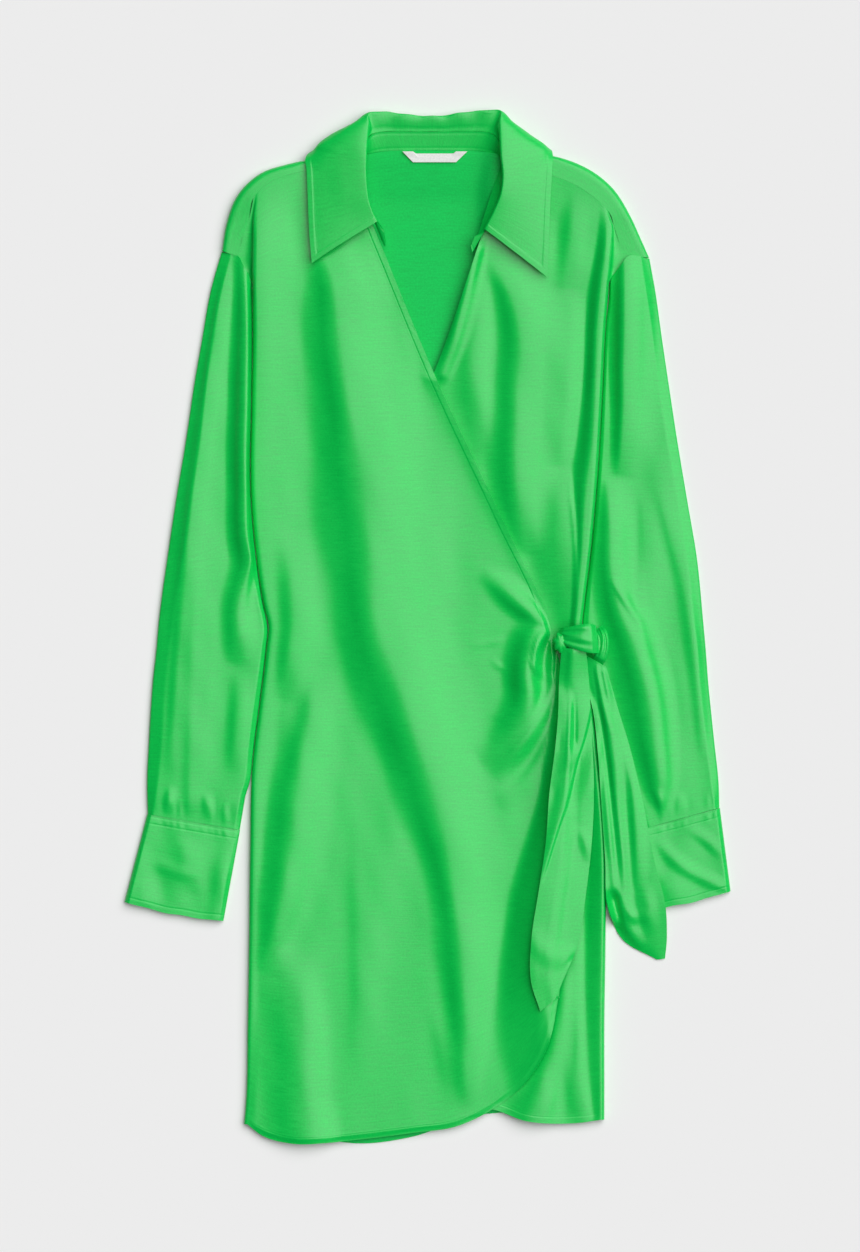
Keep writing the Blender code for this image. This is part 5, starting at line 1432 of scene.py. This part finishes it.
@dataclass
class Sleeve(Tube):
    """One sleeve, from the armhole to the cuff."""

    side: Side = Side.LEFT
    rings: int = 220
    head_gap: float = 0.1
    seam_top: float = 6.6       # height where the sleeve meets its cuff
    seam_run: float = 16.0      # how far from the cuff the sleeve settles to it
    pucker: float = 0.7         # of the gathers there
    beside: float = 0.3         # between a sleeve and the body beside it
    touching: Ramp = Ramp(4.5, -3.0)    # a sleeve's edge this near to the body is laid against it

    def head_rise(self, share: Array) -> Array:
        """How far the armhole's line stands off the straight one between the head's ends.

        Args:
            share: Places across the sleeve, from 0 to 1.

        Returns:
            Flat offsets, one for each place.
        """
        first = SLEEVES[self.side][0]
        outer, inner = np.array(first[:2]), np.array(first[2:4])
        seam = [SHOULDER_SEAM[self.side][0][:2], *(place[:2] for place in ARMHOLE[self.side])]
        down = unit(np.array([-(inner - outer)[1], (inner - outer)[0]]) * self.side)
        line = np.vstack([outer, np.array(seam) + self.head_gap * down, inner])
        return trace(line, share) - (outer + (inner - outer) * share[:, None])

    def grid(self) -> Array:
        """Lay out the sleeve.

        Returns:
            Its rings, from the armhole to the cuff.
        """
        folds = FoldTable(SLEEVE_FOLDS[self.side])
        arms = Arm(*outline(SLEEVES[self.side], self.rings).T)
        left, right, _, _ = columns_at(SIDES, arms.inner_y)
        body = (left if self.side is Side.LEFT else right) + self.side * self.beside
        against = self.touching.at(np.abs(arms.inner_x - body)) * (arms.inner_y < UNDERARM)
        arms = arms._replace(inner_x=arms.inner_x + against * (body - arms.inner_x))
        from_cuff = (1 - np.linspace(0, 1, self.rings)) * np.ptp(arms.outer_y)
        rings = []
        for arm, free in zip((Arm(*row) for row in np.transpose(arms)), ease(from_cuff / self.seam_run)):
            def line(share: Array, arm: Arm = arm) -> Array:
                """Flat points across the sleeve, at shares of its width."""
                outer, inner = np.array(arm[:4]).reshape(2, 2)
                return outer + (inner - outer) * share[:, None] + max(arm.head, 0) * self.head_rise(share)

            def height(x: Array, y: Array, arm: Arm = arm, free: float = free) -> Array:
                """Outer face, free of the cuff's hold from 0 to 1."""
                rise = arm.top + folds.height(x, y) + drift(x, y) - self.seam_top
                return self.seam_top + free * rise + self.pucker * (1 - free) * free * uneven(x)

            rings.append(self.ring(line, (arm.outer_roll, arm.inner_roll), height))
        return np.array(rings)


@dataclass
class Cuff(Tube):
    """One deep cuff, laid flat."""

    side: Side = Side.LEFT
    top: float = 6.2
    roll: float = 4.0
    bow: float = 2.5            # of the lower edge
    wave: float = 0.5           # on top of it
    seam_rise: float = 0.75     # brings the cuff up to its sleeve
    stitches: Flat = (1.6, 7.4)     # rows of stitches, from the seam
    lower_stitches: float = 5.0     # from the lower edge
    stitch_reach: float = 0.6
    stitch_dent: float = 0.2
    seam_dent: float = 0.4
    seam_reach: float = 1.5
    pucker: float = 0.2
    pucker_at: Flat = (4.5, 3.2)    # how far from the seam its middle is, and how far it reaches
    fine_step: float = 0.55     # between rings at the stitches
    seam_rings_to: float = 10.0
    edge_rings_from: float = 7.2
    middle_rings: int = 24

    def sag(self, share: Array, down: float) -> Array:
        """How far a ring bows towards the lower edge, at a share of the way down to it."""
        wave = self.wave * down ** 4 * np.sin(share * 17 + 1.0)
        return (self.bow * down + wave) * np.sin(math.pi * share)

    def places(self, depth: float) -> Array:
        """Distances of the rings from the seam, closer where the stitches draw the cloth in.

        Args:
            depth: Depth of the cuff.

        Returns:
            The distances, from the seam to the lower edge.
        """
        fine = np.arange(0, self.seam_rings_to, self.fine_step)
        low = depth - np.arange(0, self.edge_rings_from, self.fine_step)[::-1]
        middle = np.linspace(fine[-1], low[0], self.middle_rings + 2)[1:-1]
        return np.concatenate([fine, middle, low])

    def grid(self) -> Array:
        """Lay out the cuff.

        Returns:
            Its rings, from its seam to its lower edge.
        """
        outer_seam, inner_seam, outer_hem, inner_hem = (np.array(corner) for corner in CUFFS[self.side])
        outer_seam, inner_seam = outer_seam + (0, self.seam_rise), inner_seam + (0, self.seam_rise)
        folds = FoldTable(CUFF_FOLDS[self.side])
        depth = float(np.linalg.norm(outer_hem - outer_seam))
        rings = []
        for far in self.places(depth):
            down = far / depth
            outer = outer_seam + down * (outer_hem - outer_seam)
            inner = inner_seam + down * (inner_hem - inner_seam)
            rows = sum(bump(far, row, self.stitch_reach) for row in self.stitches)
            rows += bump(depth - far, self.lower_stitches, self.stitch_reach)
            draw = self.stitch_dent * rows + self.seam_dent * np.exp(-far / self.seam_reach)

            def line(share: Array, outer: Array = outer, inner: Array = inner, down: float = down) -> Array:
                """Flat points across the cuff, at shares of its width."""
                return outer + (inner - outer) * share[:, None] - np.outer(self.sag(share, down), (0, 1))

            def height(x: Array, y: Array, draw: float = draw, far: float = far) -> Array:
                """Outer face, drawn in at the stitches and puckered below the seam."""
                pucker = self.pucker * bump(far, *self.pucker_at) * uneven(x)
                return self.top + folds.height(x, y) + pucker - draw + drift(1.3 * x, 1.3 * y)

            rings.append(self.ring(line, (self.roll, self.roll), height))
        return np.array(rings)


@dataclass
class Arms:
    """Both sleeves and their cuffs."""

    finish: Material

    def build(self) -> list[Piece]:
        """Make the four tubes.

        Returns:
            The left sleeve and its cuff, then the right ones.
        """
        made = []
        for side in Side:
            for kind, tube in (("sleeve", Sleeve(side=side)), ("cuff", Cuff(side=side))):
                rings = Grid(tube.grid(), ring=True, flip=side is Side.RIGHT)
                made.append(Cloth(f"{kind}_{side.name.lower()}", [rings], self.finish).make())
        return made


# -------- collar and label
@dataclass
class Collar:
    """The pointed collar: its stand on the neckline and the fall folded over it."""

    finish: Material
    band: float = 5.2           # from the free edge to the row of stitches
    seen: int = 4               # rows at each end whose free edge lies on the fronts
    parts: tuple[int, int, int] = (30, 35, 120)     # at a point, along a side, round the neck
    back: Flat = (7.3, 12.7)    # rows between which the fold at the back waves
    back_run: float = 0.8
    wave: float = 0.9
    wave_at: Flat = (1.4, 0.9)  # column of the wave's middle, and how far it reaches
    seam_dent: float = 0.3
    seam_dent_at: Flat = (0.22, 0.07)   # the same for the stitches at the seam
    stand_rows: int = 170
    stand_columns: int = 22
    stand_stitches: Flat = (0.14, 0.9)  # shares of the stand's depth
    stand_dent: float = 0.16
    stand_reach: float = 0.05

    def rows(self) -> Array:
        """Choose the rows of the fall, closer at its two points.

        Returns:
            Row numbers of COLLAR, with fractions.
        """
        last = len(COLLAR) - 1
        point, side, neck = (count + 1 for count in self.parts)
        ends = np.concatenate([np.linspace(0, 1, point)[:-1], np.linspace(1, self.seen, side)[:-1]])
        middle = np.linspace(self.seen, last - self.seen, neck)[:-1]
        return np.concatenate([ends, middle, last - ends[::-1]])

    @staticmethod
    def columns() -> Array:
        """Choose the columns of the fall, closer at the fold and at the free edge.

        Returns:
            Column numbers of Fall, with fractions.
        """
        spans = ((0, 1, 9), (1, 2, 6), (2, 3, 13), (3, 4, 11), (4, 4.5, 5), (4.5, 5, 13))
        parts = [np.linspace(start, end, count + 1)[:-1] for start, end, count in spans]
        return np.concatenate([*parts, [5]])

    def free_edges(self) -> list[Array]:
        """Trace the two visible free edges.

        Returns:
            Their flat lines, from the fold to the point and on to the shoulder.
        """
        edges = []
        for rows in (COLLAR[:self.seen + 2], COLLAR[:-self.seen - 3:-1]):
            along = reread(np.array([row.edge for row in rows]), np.linspace(0, len(rows) - 1, 40))
            first = rows[0]
            short = outline((first.top, first.mid, first.low, first.edge), 20)
            edges.append(np.vstack([short[:-1], along])[:, :2])
        return edges

    def fall(self) -> Array:
        """Lay out the fall.

        Returns:
            Its points, from its left point round the neck to its right one.
        """
        at = self.columns()
        lines = []
        for row in COLLAR:
            knots = chord_knots(row, 3)
            places = np.interp(at, range(len(row)), knots)
            line = trace(row, places, axes=3)
            line[:, 2] = settled(knots, np.array(row)[:, 2], places)
            lines.append(line)
        rows = self.rows()
        grid = reread(np.array(lines), rows)
        x = grid[..., 0].copy()
        here = ease(np.minimum(rows - self.back[0], self.back[1] - rows) / self.back_run)[:, None]
        near = self.wave * here * bump(at, *self.wave_at)
        grid[..., 1] += near * (np.sin(0.31 * x) + 0.7 * np.sin(0.19 * x + 1.3))
        grid[..., 2] += 0.5 * near * np.sin(0.26 * x + 0.6)
        for edge in self.free_edges():
            far = distance_to(edge, grid[..., 0], grid[..., 1])
            grid[..., 2] += (at > 2) * hem_height(far, self.band)
        grid[..., 2] -= self.seam_dent * bump(at, *self.seam_dent_at) * (at < 1)
        grid[..., 2] = np.maximum(grid[..., 2], FLOOR_GAP)
        return grid

    def stand(self) -> Array:
        """Lay out the stand.

        Returns:
            Its points, the same way round, from the neckline up.
        """
        ends = reread(np.array(STAND, float), np.linspace(0, len(STAND) - 1, self.stand_rows))
        up = np.linspace(0, 1, self.stand_columns)
        points = ends[:, :1] + (ends[:, 1:] - ends[:, :1]) * up[:, None]
        for row in self.stand_stitches:
            points[..., 2] -= self.stand_dent * bump(up, row, self.stand_reach)
        return points

    def build(self) -> list[Piece]:
        """Make the two pieces.

        Returns:
            The stand and the fall.
        """
        stand = Cloth("collar_stand", [Grid(self.stand(), flip=True)], self.finish)
        fall = Cloth("collar_leaf", [Grid(self.fall())], self.finish)
        return [stand.make(), fall.make()]


@dataclass
class NeckLabel:
    """The folded ribbon label inside the back of the neck."""

    form: BodyForm
    finish: Material
    top: Point = (-22.0, 35.0, 417.0)       # its edges: left and right end, and their y
    foot: Point = (-12.8, 25.1, 407.6)
    columns: int = 60
    rows: int = 16
    wall: float = 1.0
    gap: float = 0.5            # over the back
    left_tab: Ramp = Ramp(0.16, 0.05)       # where the turned corners end, in shares of the width
    right_tab: Ramp = Ramp(0.78, 0.05)
    notch: float = 1.8          # the top edge between them lies this much lower
    curl: float = 0.8           # how much the turned corners stand up
    curl_down: Ramp = Ramp(0, 0.6)

    def build(self) -> list[Piece]:
        """Make the label.

        Returns:
            The one piece, in a list.
        """
        share = np.linspace(0, 1, self.columns)
        tabs = np.maximum(1 - self.left_tab.at(share), self.right_tab.at(share))
        top, foot = (np.column_stack([left + (right - left) * share, np.full(self.columns, y)])
                     for left, right, y in (self.top, self.foot))
        top[:, 1] -= self.notch * (1 - tabs)
        flat = np.linspace(top, foot, self.rows)
        down = np.linspace(0, 1, self.rows)[:, None]
        lift = self.form.cloth + self.gap + self.wall + self.curl * tabs * (1 - self.curl_down.at(down))
        grid = with_height(flat, self.form.back_foot(flat[..., 0], flat[..., 1]) + lift)
        return [Cloth("neck_label", [Grid(grid)], self.finish, Slot.RIBBON, self.wall).make()]


# -------- ties and knot
@dataclass
class Waist:
    """The two tails of the tie, and the knot they come out of."""

    form: BodyForm
    finish: Material
    gap: float = 0.5            # between a tail and what it lies on
    rest_reach: float = 6.0     # how far round a point that is looked for
    coarse: Size = (36, 9)       # rows and columns of a tail when it is laid down
    fine: Size = (150, 52)       # and when it is made
    tail_drift: float = 0.5     # how uneven a tail is beside the body
    folds: FoldTable = field(default_factory=lambda: FoldTable(TIE_FOLDS, 0.3, 0.4))

    core_centre: Point = (133.5, -11.5, 17.8)
    core_half: Point = (11.5, 11.0, 5.7)
    tuft_centre: Point = (116.5, -14.5, 19.0)
    tuft_half: Point = (6.2, 8.6, 4.6)
    pleats: int = 7             # round the core and round the tuft
    pleat_depth: float = 0.09
    lump_size: Size = (40, 96)   # rings, and points round each
    lump_eye: float = 0.02      # radians from the top and the foot to the last rings

    band_size: Size = (60, 40)   # rows and columns
    loop_size: Size = (60, 30)
    crown: float = 2.0          # how far a strip's edges turn down
    crown_power: float = 2.6
    crease: float = 0.55        # depth of the creases in the knot's strips
    end_drop: float = 2.4       # how far a strip's ends tuck down
    first_end: Ramp = Ramp(0.12, -0.12)
    last_end: Ramp = Ramp(0.82, 0.18)

    def resting_height(self, under: Sequence[Piece], x: Array, y: Array) -> Array:
        """Highest top of the pieces round each point, or the floor.

        Args:
            under: The pieces.
            x: Places across.
            y: Places along.

        Returns:
            Heights over the floor, in millimetres.
        """
        depsgraph = bpy.context.evaluated_depsgraph_get()
        trees = [BVHTree.FromObject(piece, depsgraph) for piece in under]
        steps = np.linspace(-self.rest_reach, self.rest_reach, 5)
        found = np.zeros(x.shape)
        for spot in np.ndindex(x.shape):
            for dx, dy, tree in product(steps, steps, trees):
                start = ((x[spot] + dx) * MM, (y[spot] + dy) * MM, ABOVE_ALL)
                hit = tree.ray_cast(start, (0, 0, -1))[0]
                if hit:
                    found[spot] = max(found[spot], hit.z / MM)
        return found

    def tail(self, tails: Sequence[Tail], under: Sequence[Piece]) -> Array:
        """Lay one tail over the pieces under it.

        Args:
            tails: Its places along the tie.
            under: The pieces.

        Returns:
            Points, rows by columns by three.
        """
        rows, columns = self.coarse
        line = outline([(*tail.left, *tail.right, tail.crown) for tail in tails], rows)
        left, right, crown = line[:, None, :3], line[:, None, 3:6], line[:, 6:]
        share = np.linspace(0, 1, columns)
        grid = left + (right - left) * share[:, None]
        height = grid[..., 2] + crown * np.sin(math.pi * share)
        rest = self.resting_height(under, grid[..., 0], grid[..., 1])
        grid = with_height(grid[..., :2], np.maximum(height, rest + self.form.cloth + self.gap))
        grid = reread(grid, np.linspace(0, rows - 1, self.fine[0]))
        grid = reread(grid.swapaxes(0, 1), np.linspace(0, columns - 1, self.fine[1])).swapaxes(0, 1)
        x, y = grid[..., 0], grid[..., 1]
        grid[..., 2] += self.folds.height(x, y) + self.tail_drift * drift(x, y)
        return grid

    def strip(self, wraps: Sequence[Wrap], size: Size) -> Array:
        """Lay out a short strip of the knot, crowned across its width.

        Args:
            wraps: Its places.
            size: Its rows and columns.

        Returns:
            Points, rows by columns by three.
        """
        rows, columns = size
        line = trace(wraps, np.linspace(0, 1, rows), axes=3)
        middle, half, height = line[:, None, :2], line[:, None, 3:5], line[:, 2:3]
        share = np.linspace(-1, 1, columns)
        along = np.linspace(0, 1, rows)[:, None]
        creases = self.crease * (np.sin(7.5 * share + 2.2 * along + 0.6) * np.sin(math.pi * along ** 0.7)
                                 + 0.5 * np.sin(13 * share - 3 * along) * (1 - along))
        ends = self.end_drop * (self.first_end.at(along) + self.last_end.at(along))
        turned_down = self.crown * np.abs(share) ** self.crown_power
        return with_height(middle + half * share[:, None], height - turned_down + creases - ends)

    def lump(self, centre: Point, half: Point) -> Array:
        """Points of a gathered lump that the band and the loop hold.

        Args:
            centre: Its middle.
            half: Half its size along x, y and z.

        Returns:
            Rings of points from its top to its foot.
        """
        rings, count = self.lump_size
        turn = np.linspace(0, 2 * math.pi, count, endpoint=False)
        rise = np.linspace(self.lump_eye, math.pi - self.lump_eye, rings)[:, None]
        flat = np.sin(rise) * (1 + self.pleat_depth * np.sin(self.pleats * turn) * np.sin(rise))
        points = np.dstack([flat * np.cos(turn), flat * np.sin(turn), np.cos(rise) + 0 * turn])
        return np.array(centre) + np.array(half) * points

    def build(self, under: Sequence[Piece]) -> list[Piece]:
        """Make the tails, then the knot.

        Args:
            under: The pieces that the tails lie on.

        Returns:
            Both tails, the core with its tuft, the band and the loop.
        """
        grids = {
            "tie_front": [Grid(self.tail(TIE_FRONT, under))],
            "tie_side": [Grid(self.tail(TIE_SIDE, under))],
            "knot_core": [Grid(self.lump(self.core_centre, self.core_half), ring=True),
                          Grid(self.lump(self.tuft_centre, self.tuft_half), ring=True)],
            "knot_band": [Grid(self.strip(KNOT_BAND, self.band_size))],
            "knot_loop": [Grid(self.strip(KNOT_LOOP, self.loop_size))],
        }
        return [Cloth(name, shape, self.finish).make() for name, shape in grids.items()]


# -------- finishes
@dataclass(frozen=True)
class Weave:
    """Fine crosswise floats, slubs and a slow unevenness that every cloth here shares."""

    name: str = "woven grain"
    float_pitch: float = 0.0011     # metres from one streak of floats to the next
    float_run: float = 0.014        # length of a streak
    slub_pitch: float = 0.0030
    slub_run: float = 0.060
    speckle: float = 0.0016
    mottle: float = 0.045
    octaves: tuple[float, ...] = (1.0, 2.0, 1.0, 3.0)       # floats, slubs, speckle and mottle
    in_colour: tuple[float, ...] = (0.2, 0.07, 0.24, 0.1)   # how much each one changes it
    in_roughness: tuple[float, ...] = (0.12, 0.0, 0.0, 0.1)
    in_height: tuple[float, ...] = (0.7, 0.5, 0.6, 0.0)

    def noise(self, tree: NodeTree, grain: Socket,
              size: Flat, detail: float) -> Socket:
        """Noise whose cells have a width and a length in metres.

        Args:
            tree: The group's nodes.
            grain: Place on the cut cloth.
            size: Width and length of a cell.
            detail: Octaves of the noise.

        Returns:
            The noise, about 0.5.
        """
        place = tree.nodes.new("ShaderNodeMapping")
        place.inputs["Scale"].default_value = (1 / size[0], 1 / size[1], 1)
        cells = tree.nodes.new("ShaderNodeTexNoise")
        cells.noise_dimensions = "2D"
        cells.inputs["Scale"].default_value = 1.0
        cells.inputs["Detail"].default_value = detail
        tree.links.new(grain, place.inputs["Vector"])
        tree.links.new(place.outputs["Vector"], cells.inputs["Vector"])
        return cells.outputs["Fac"]

    @staticmethod
    def blend(tree: NodeTree, parts: Sequence[Socket],
              weights: Sequence[float], start: float) -> Socket:
        """Start value plus each part's difference from a half, times its weight.

        Args:
            tree: The group's nodes.
            parts: Values about 0.5.
            weights: One for each part; a part with none is left out.
            start: The value where every part is 0.5.

        Returns:
            The sum.
        """
        total = None
        start -= sum(weights) / 2
        for part, weight in zip(parts, weights):
            if not weight:
                continue
            step = tree.nodes.new("ShaderNodeMath")
            step.operation = "MULTIPLY_ADD"
            step.inputs[1].default_value = weight
            step.inputs[2].default_value = start
            tree.links.new(part, step.inputs[0])
            if total is not None:
                tree.links.new(total, step.inputs[2])
            total = step.outputs[0]
        return total

    def group(self) -> NodeTree:
        """The shared node group, built once.

        Returns:
            A group that turns a place on the cloth, a colour and a roughness into a colour, a
            roughness and a height that vary as the weave does.
        """
        if self.name in bpy.data.node_groups:
            return bpy.data.node_groups[self.name]
        tree = bpy.data.node_groups.new(self.name, "ShaderNodeTree")
        for way, name, kind in (("INPUT", "Grain", "Vector"), ("INPUT", "Colour", "Color"),
                                ("INPUT", "Roughness", "Float"), ("OUTPUT", "Colour", "Color"),
                                ("OUTPUT", "Roughness", "Float"), ("OUTPUT", "Height", "Float")):
            tree.interface.new_socket(name, in_out=way, socket_type=f"NodeSocket{kind}")
        given, made = tree.nodes.new("NodeGroupInput"), tree.nodes.new("NodeGroupOutput")
        sizes = ((self.float_run, self.float_pitch), (self.slub_run, self.slub_pitch),
                 (self.speckle, self.speckle), (self.mottle, self.mottle))
        parts = [self.noise(tree, given.outputs["Grain"], size, detail)
                 for size, detail in zip(sizes, self.octaves)]
        tone = self.blend(tree, parts, self.in_colour, 1.0)
        tint = tree.nodes.new("ShaderNodeVectorMath")
        tint.operation = "SCALE"
        tree.links.new(given.outputs["Colour"], tint.inputs[0])
        tree.links.new(tone, tint.inputs["Scale"])
        tree.links.new(tint.outputs["Vector"], made.inputs["Colour"])
        rough = tree.nodes.new("ShaderNodeMath")
        rough.operation = "ADD"
        tree.links.new(given.outputs["Roughness"], rough.inputs[0])
        tree.links.new(self.blend(tree, parts, self.in_roughness, 0.0), rough.inputs[1])
        tree.links.new(rough.outputs[0], made.inputs["Roughness"])
        tree.links.new(self.blend(tree, parts, self.in_height, 0.5), made.inputs["Height"])
        return tree


@dataclass(frozen=True)
class Satin:
    """Smooth satin with a fine weave, in one colour."""

    name: str = "green satin"
    colour: Point = (0.001, 0.565, 0.076)
    roughness: float = 0.34
    sheen: float = 0.5          # specular level
    relief: float = 0.00005     # metres that the floats stand out
    weave: Weave = Weave()

    def make(self) -> Material:
        """Build the material.

        Returns:
            The material, with the weave placed by the grain's UV map.
        """
        made = bpy.data.materials.new(self.name)
        made.use_nodes = True
        tree = made.node_tree
        shader = tree.nodes["Principled BSDF"]
        shader.inputs["Specular IOR Level"].default_value = self.sheen
        grain = tree.nodes.new("ShaderNodeUVMap")
        grain.uv_map = "grain"
        weave = tree.nodes.new("ShaderNodeGroup")
        weave.node_tree = self.weave.group()
        weave.inputs["Colour"].default_value = (*self.colour, 1.0)
        weave.inputs["Roughness"].default_value = self.roughness
        relief = tree.nodes.new("ShaderNodeBump")
        relief.inputs["Distance"].default_value = self.relief
        tree.links.new(grain.outputs["UV"], weave.inputs["Grain"])
        tree.links.new(weave.outputs["Colour"], shader.inputs["Base Color"])
        tree.links.new(weave.outputs["Roughness"], shader.inputs["Roughness"])
        tree.links.new(weave.outputs["Height"], relief.inputs["Height"])
        tree.links.new(relief.outputs["Normal"], shader.inputs["Normal"])
        return made


@dataclass(frozen=True)
class SoftLight:
    """A broad, distant source: where it stands and how wide it is, in degrees."""

    name: str
    strength: float
    zenith: float
    azimuth: float      # from +X towards +Y
    spread: float

    def add(self) -> None:
        """Hang the light."""
        lamp = bpy.data.lights.new(self.name, "SUN")
        lamp.energy = self.strength
        lamp.angle = math.radians(self.spread)
        made = bpy.data.objects.new(self.name, lamp)
        zenith, azimuth = math.radians(self.zenith), math.radians(self.azimuth)
        towards = Vector((math.sin(zenith) * math.cos(azimuth), math.sin(zenith) * math.sin(azimuth),
                          math.cos(zenith)))
        made.rotation_mode = "QUATERNION"
        made.rotation_quaternion = towards.to_track_quat("Z", "Y")
        bpy.context.scene.collection.objects.link(made)


@dataclass
class Studio:
    """Pale floor, soft light from above and the upper right, and a camera straight above."""

    distance: float = 6.0
    view_height: float = 1.1018
    centre: Flat = (0.0022, 0.0)
    floor_grey: float = 0.86
    floor_roughness: float = 0.9
    floor_half: float = 20.0
    fill: float = 0.02
    key: SoftLight = SoftLight("key", strength=3.5, zenith=31.0, azimuth=36.0, spread=72.0)

    def floor(self) -> None:
        """The plain surface that the dress lies on."""
        mesh = bpy.data.meshes.new("floor")
        half = self.floor_half
        mesh.from_pydata([(-half, -half, 0), (half, -half, 0), (half, half, 0), (-half, half, 0)], [],
                         [(0, 1, 2, 3)])
        made = bpy.data.objects.new("floor", mesh)
        bpy.context.scene.collection.objects.link(made)
        paper = bpy.data.materials.new("pale paper")
        paper.use_nodes = True
        shader = paper.node_tree.nodes["Principled BSDF"]
        shader.inputs["Base Color"].default_value = (self.floor_grey,) * 3 + (1.0,)
        shader.inputs["Roughness"].default_value = self.floor_roughness
        shader.inputs["Specular IOR Level"].default_value = 0.0
        mesh.materials.append(paper)

    def sky(self) -> None:
        """A faint even fill."""
        world = bpy.data.worlds.new("studio")
        world.use_nodes = True
        world.node_tree.nodes["Background"].inputs["Color"].default_value = (1, 1, 1, 1)
        world.node_tree.nodes["Background"].inputs["Strength"].default_value = self.fill
        bpy.context.scene.world = world

    def camera(self) -> None:
        """A long lens straight above the dress, hem down."""
        data = bpy.data.cameras.new("above")
        data.lens = data.sensor_width / 2 * self.distance / (self.view_height / 2)
        data.clip_end = 50.0
        made = bpy.data.objects.new("above", data)
        made.location = (*self.centre, self.distance)
        bpy.context.scene.collection.objects.link(made)
        bpy.context.scene.camera = made

    def build(self) -> None:
        """Set the stage."""
        self.floor()
        self.key.add()
        self.sky()
        self.camera()
        bpy.context.scene.view_settings.view_transform = "Standard"


def main() -> None:
    """Build the dress piece by piece."""
    logging.basicConfig(level=logging.INFO, format="%(message)s")
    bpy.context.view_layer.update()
    Studio().build()
    form = BodyForm()
    satin = Satin().make()
    ribbon = Satin("label ribbon", colour=(0.82, 0.83, 0.8), roughness=0.6).make()
    wrong_side = Satin("satin wrong side", colour=(0.003, 0.55, 0.09), roughness=0.6, sheen=0.16).make()
    body = Body(form, satin, wrong_side).build()
    arms = Arms(satin).build()
    neck = Collar(satin).build() + NeckLabel(form, ribbon).build()
    waist = Waist(form, satin).build([*body[1:], *arms])
    for piece in (*body, *arms, *neck, *waist):
        LOG.info("%s: %d faces", piece.name, len(piece.data.polygons))


if __name__ == "__main__":
    main()
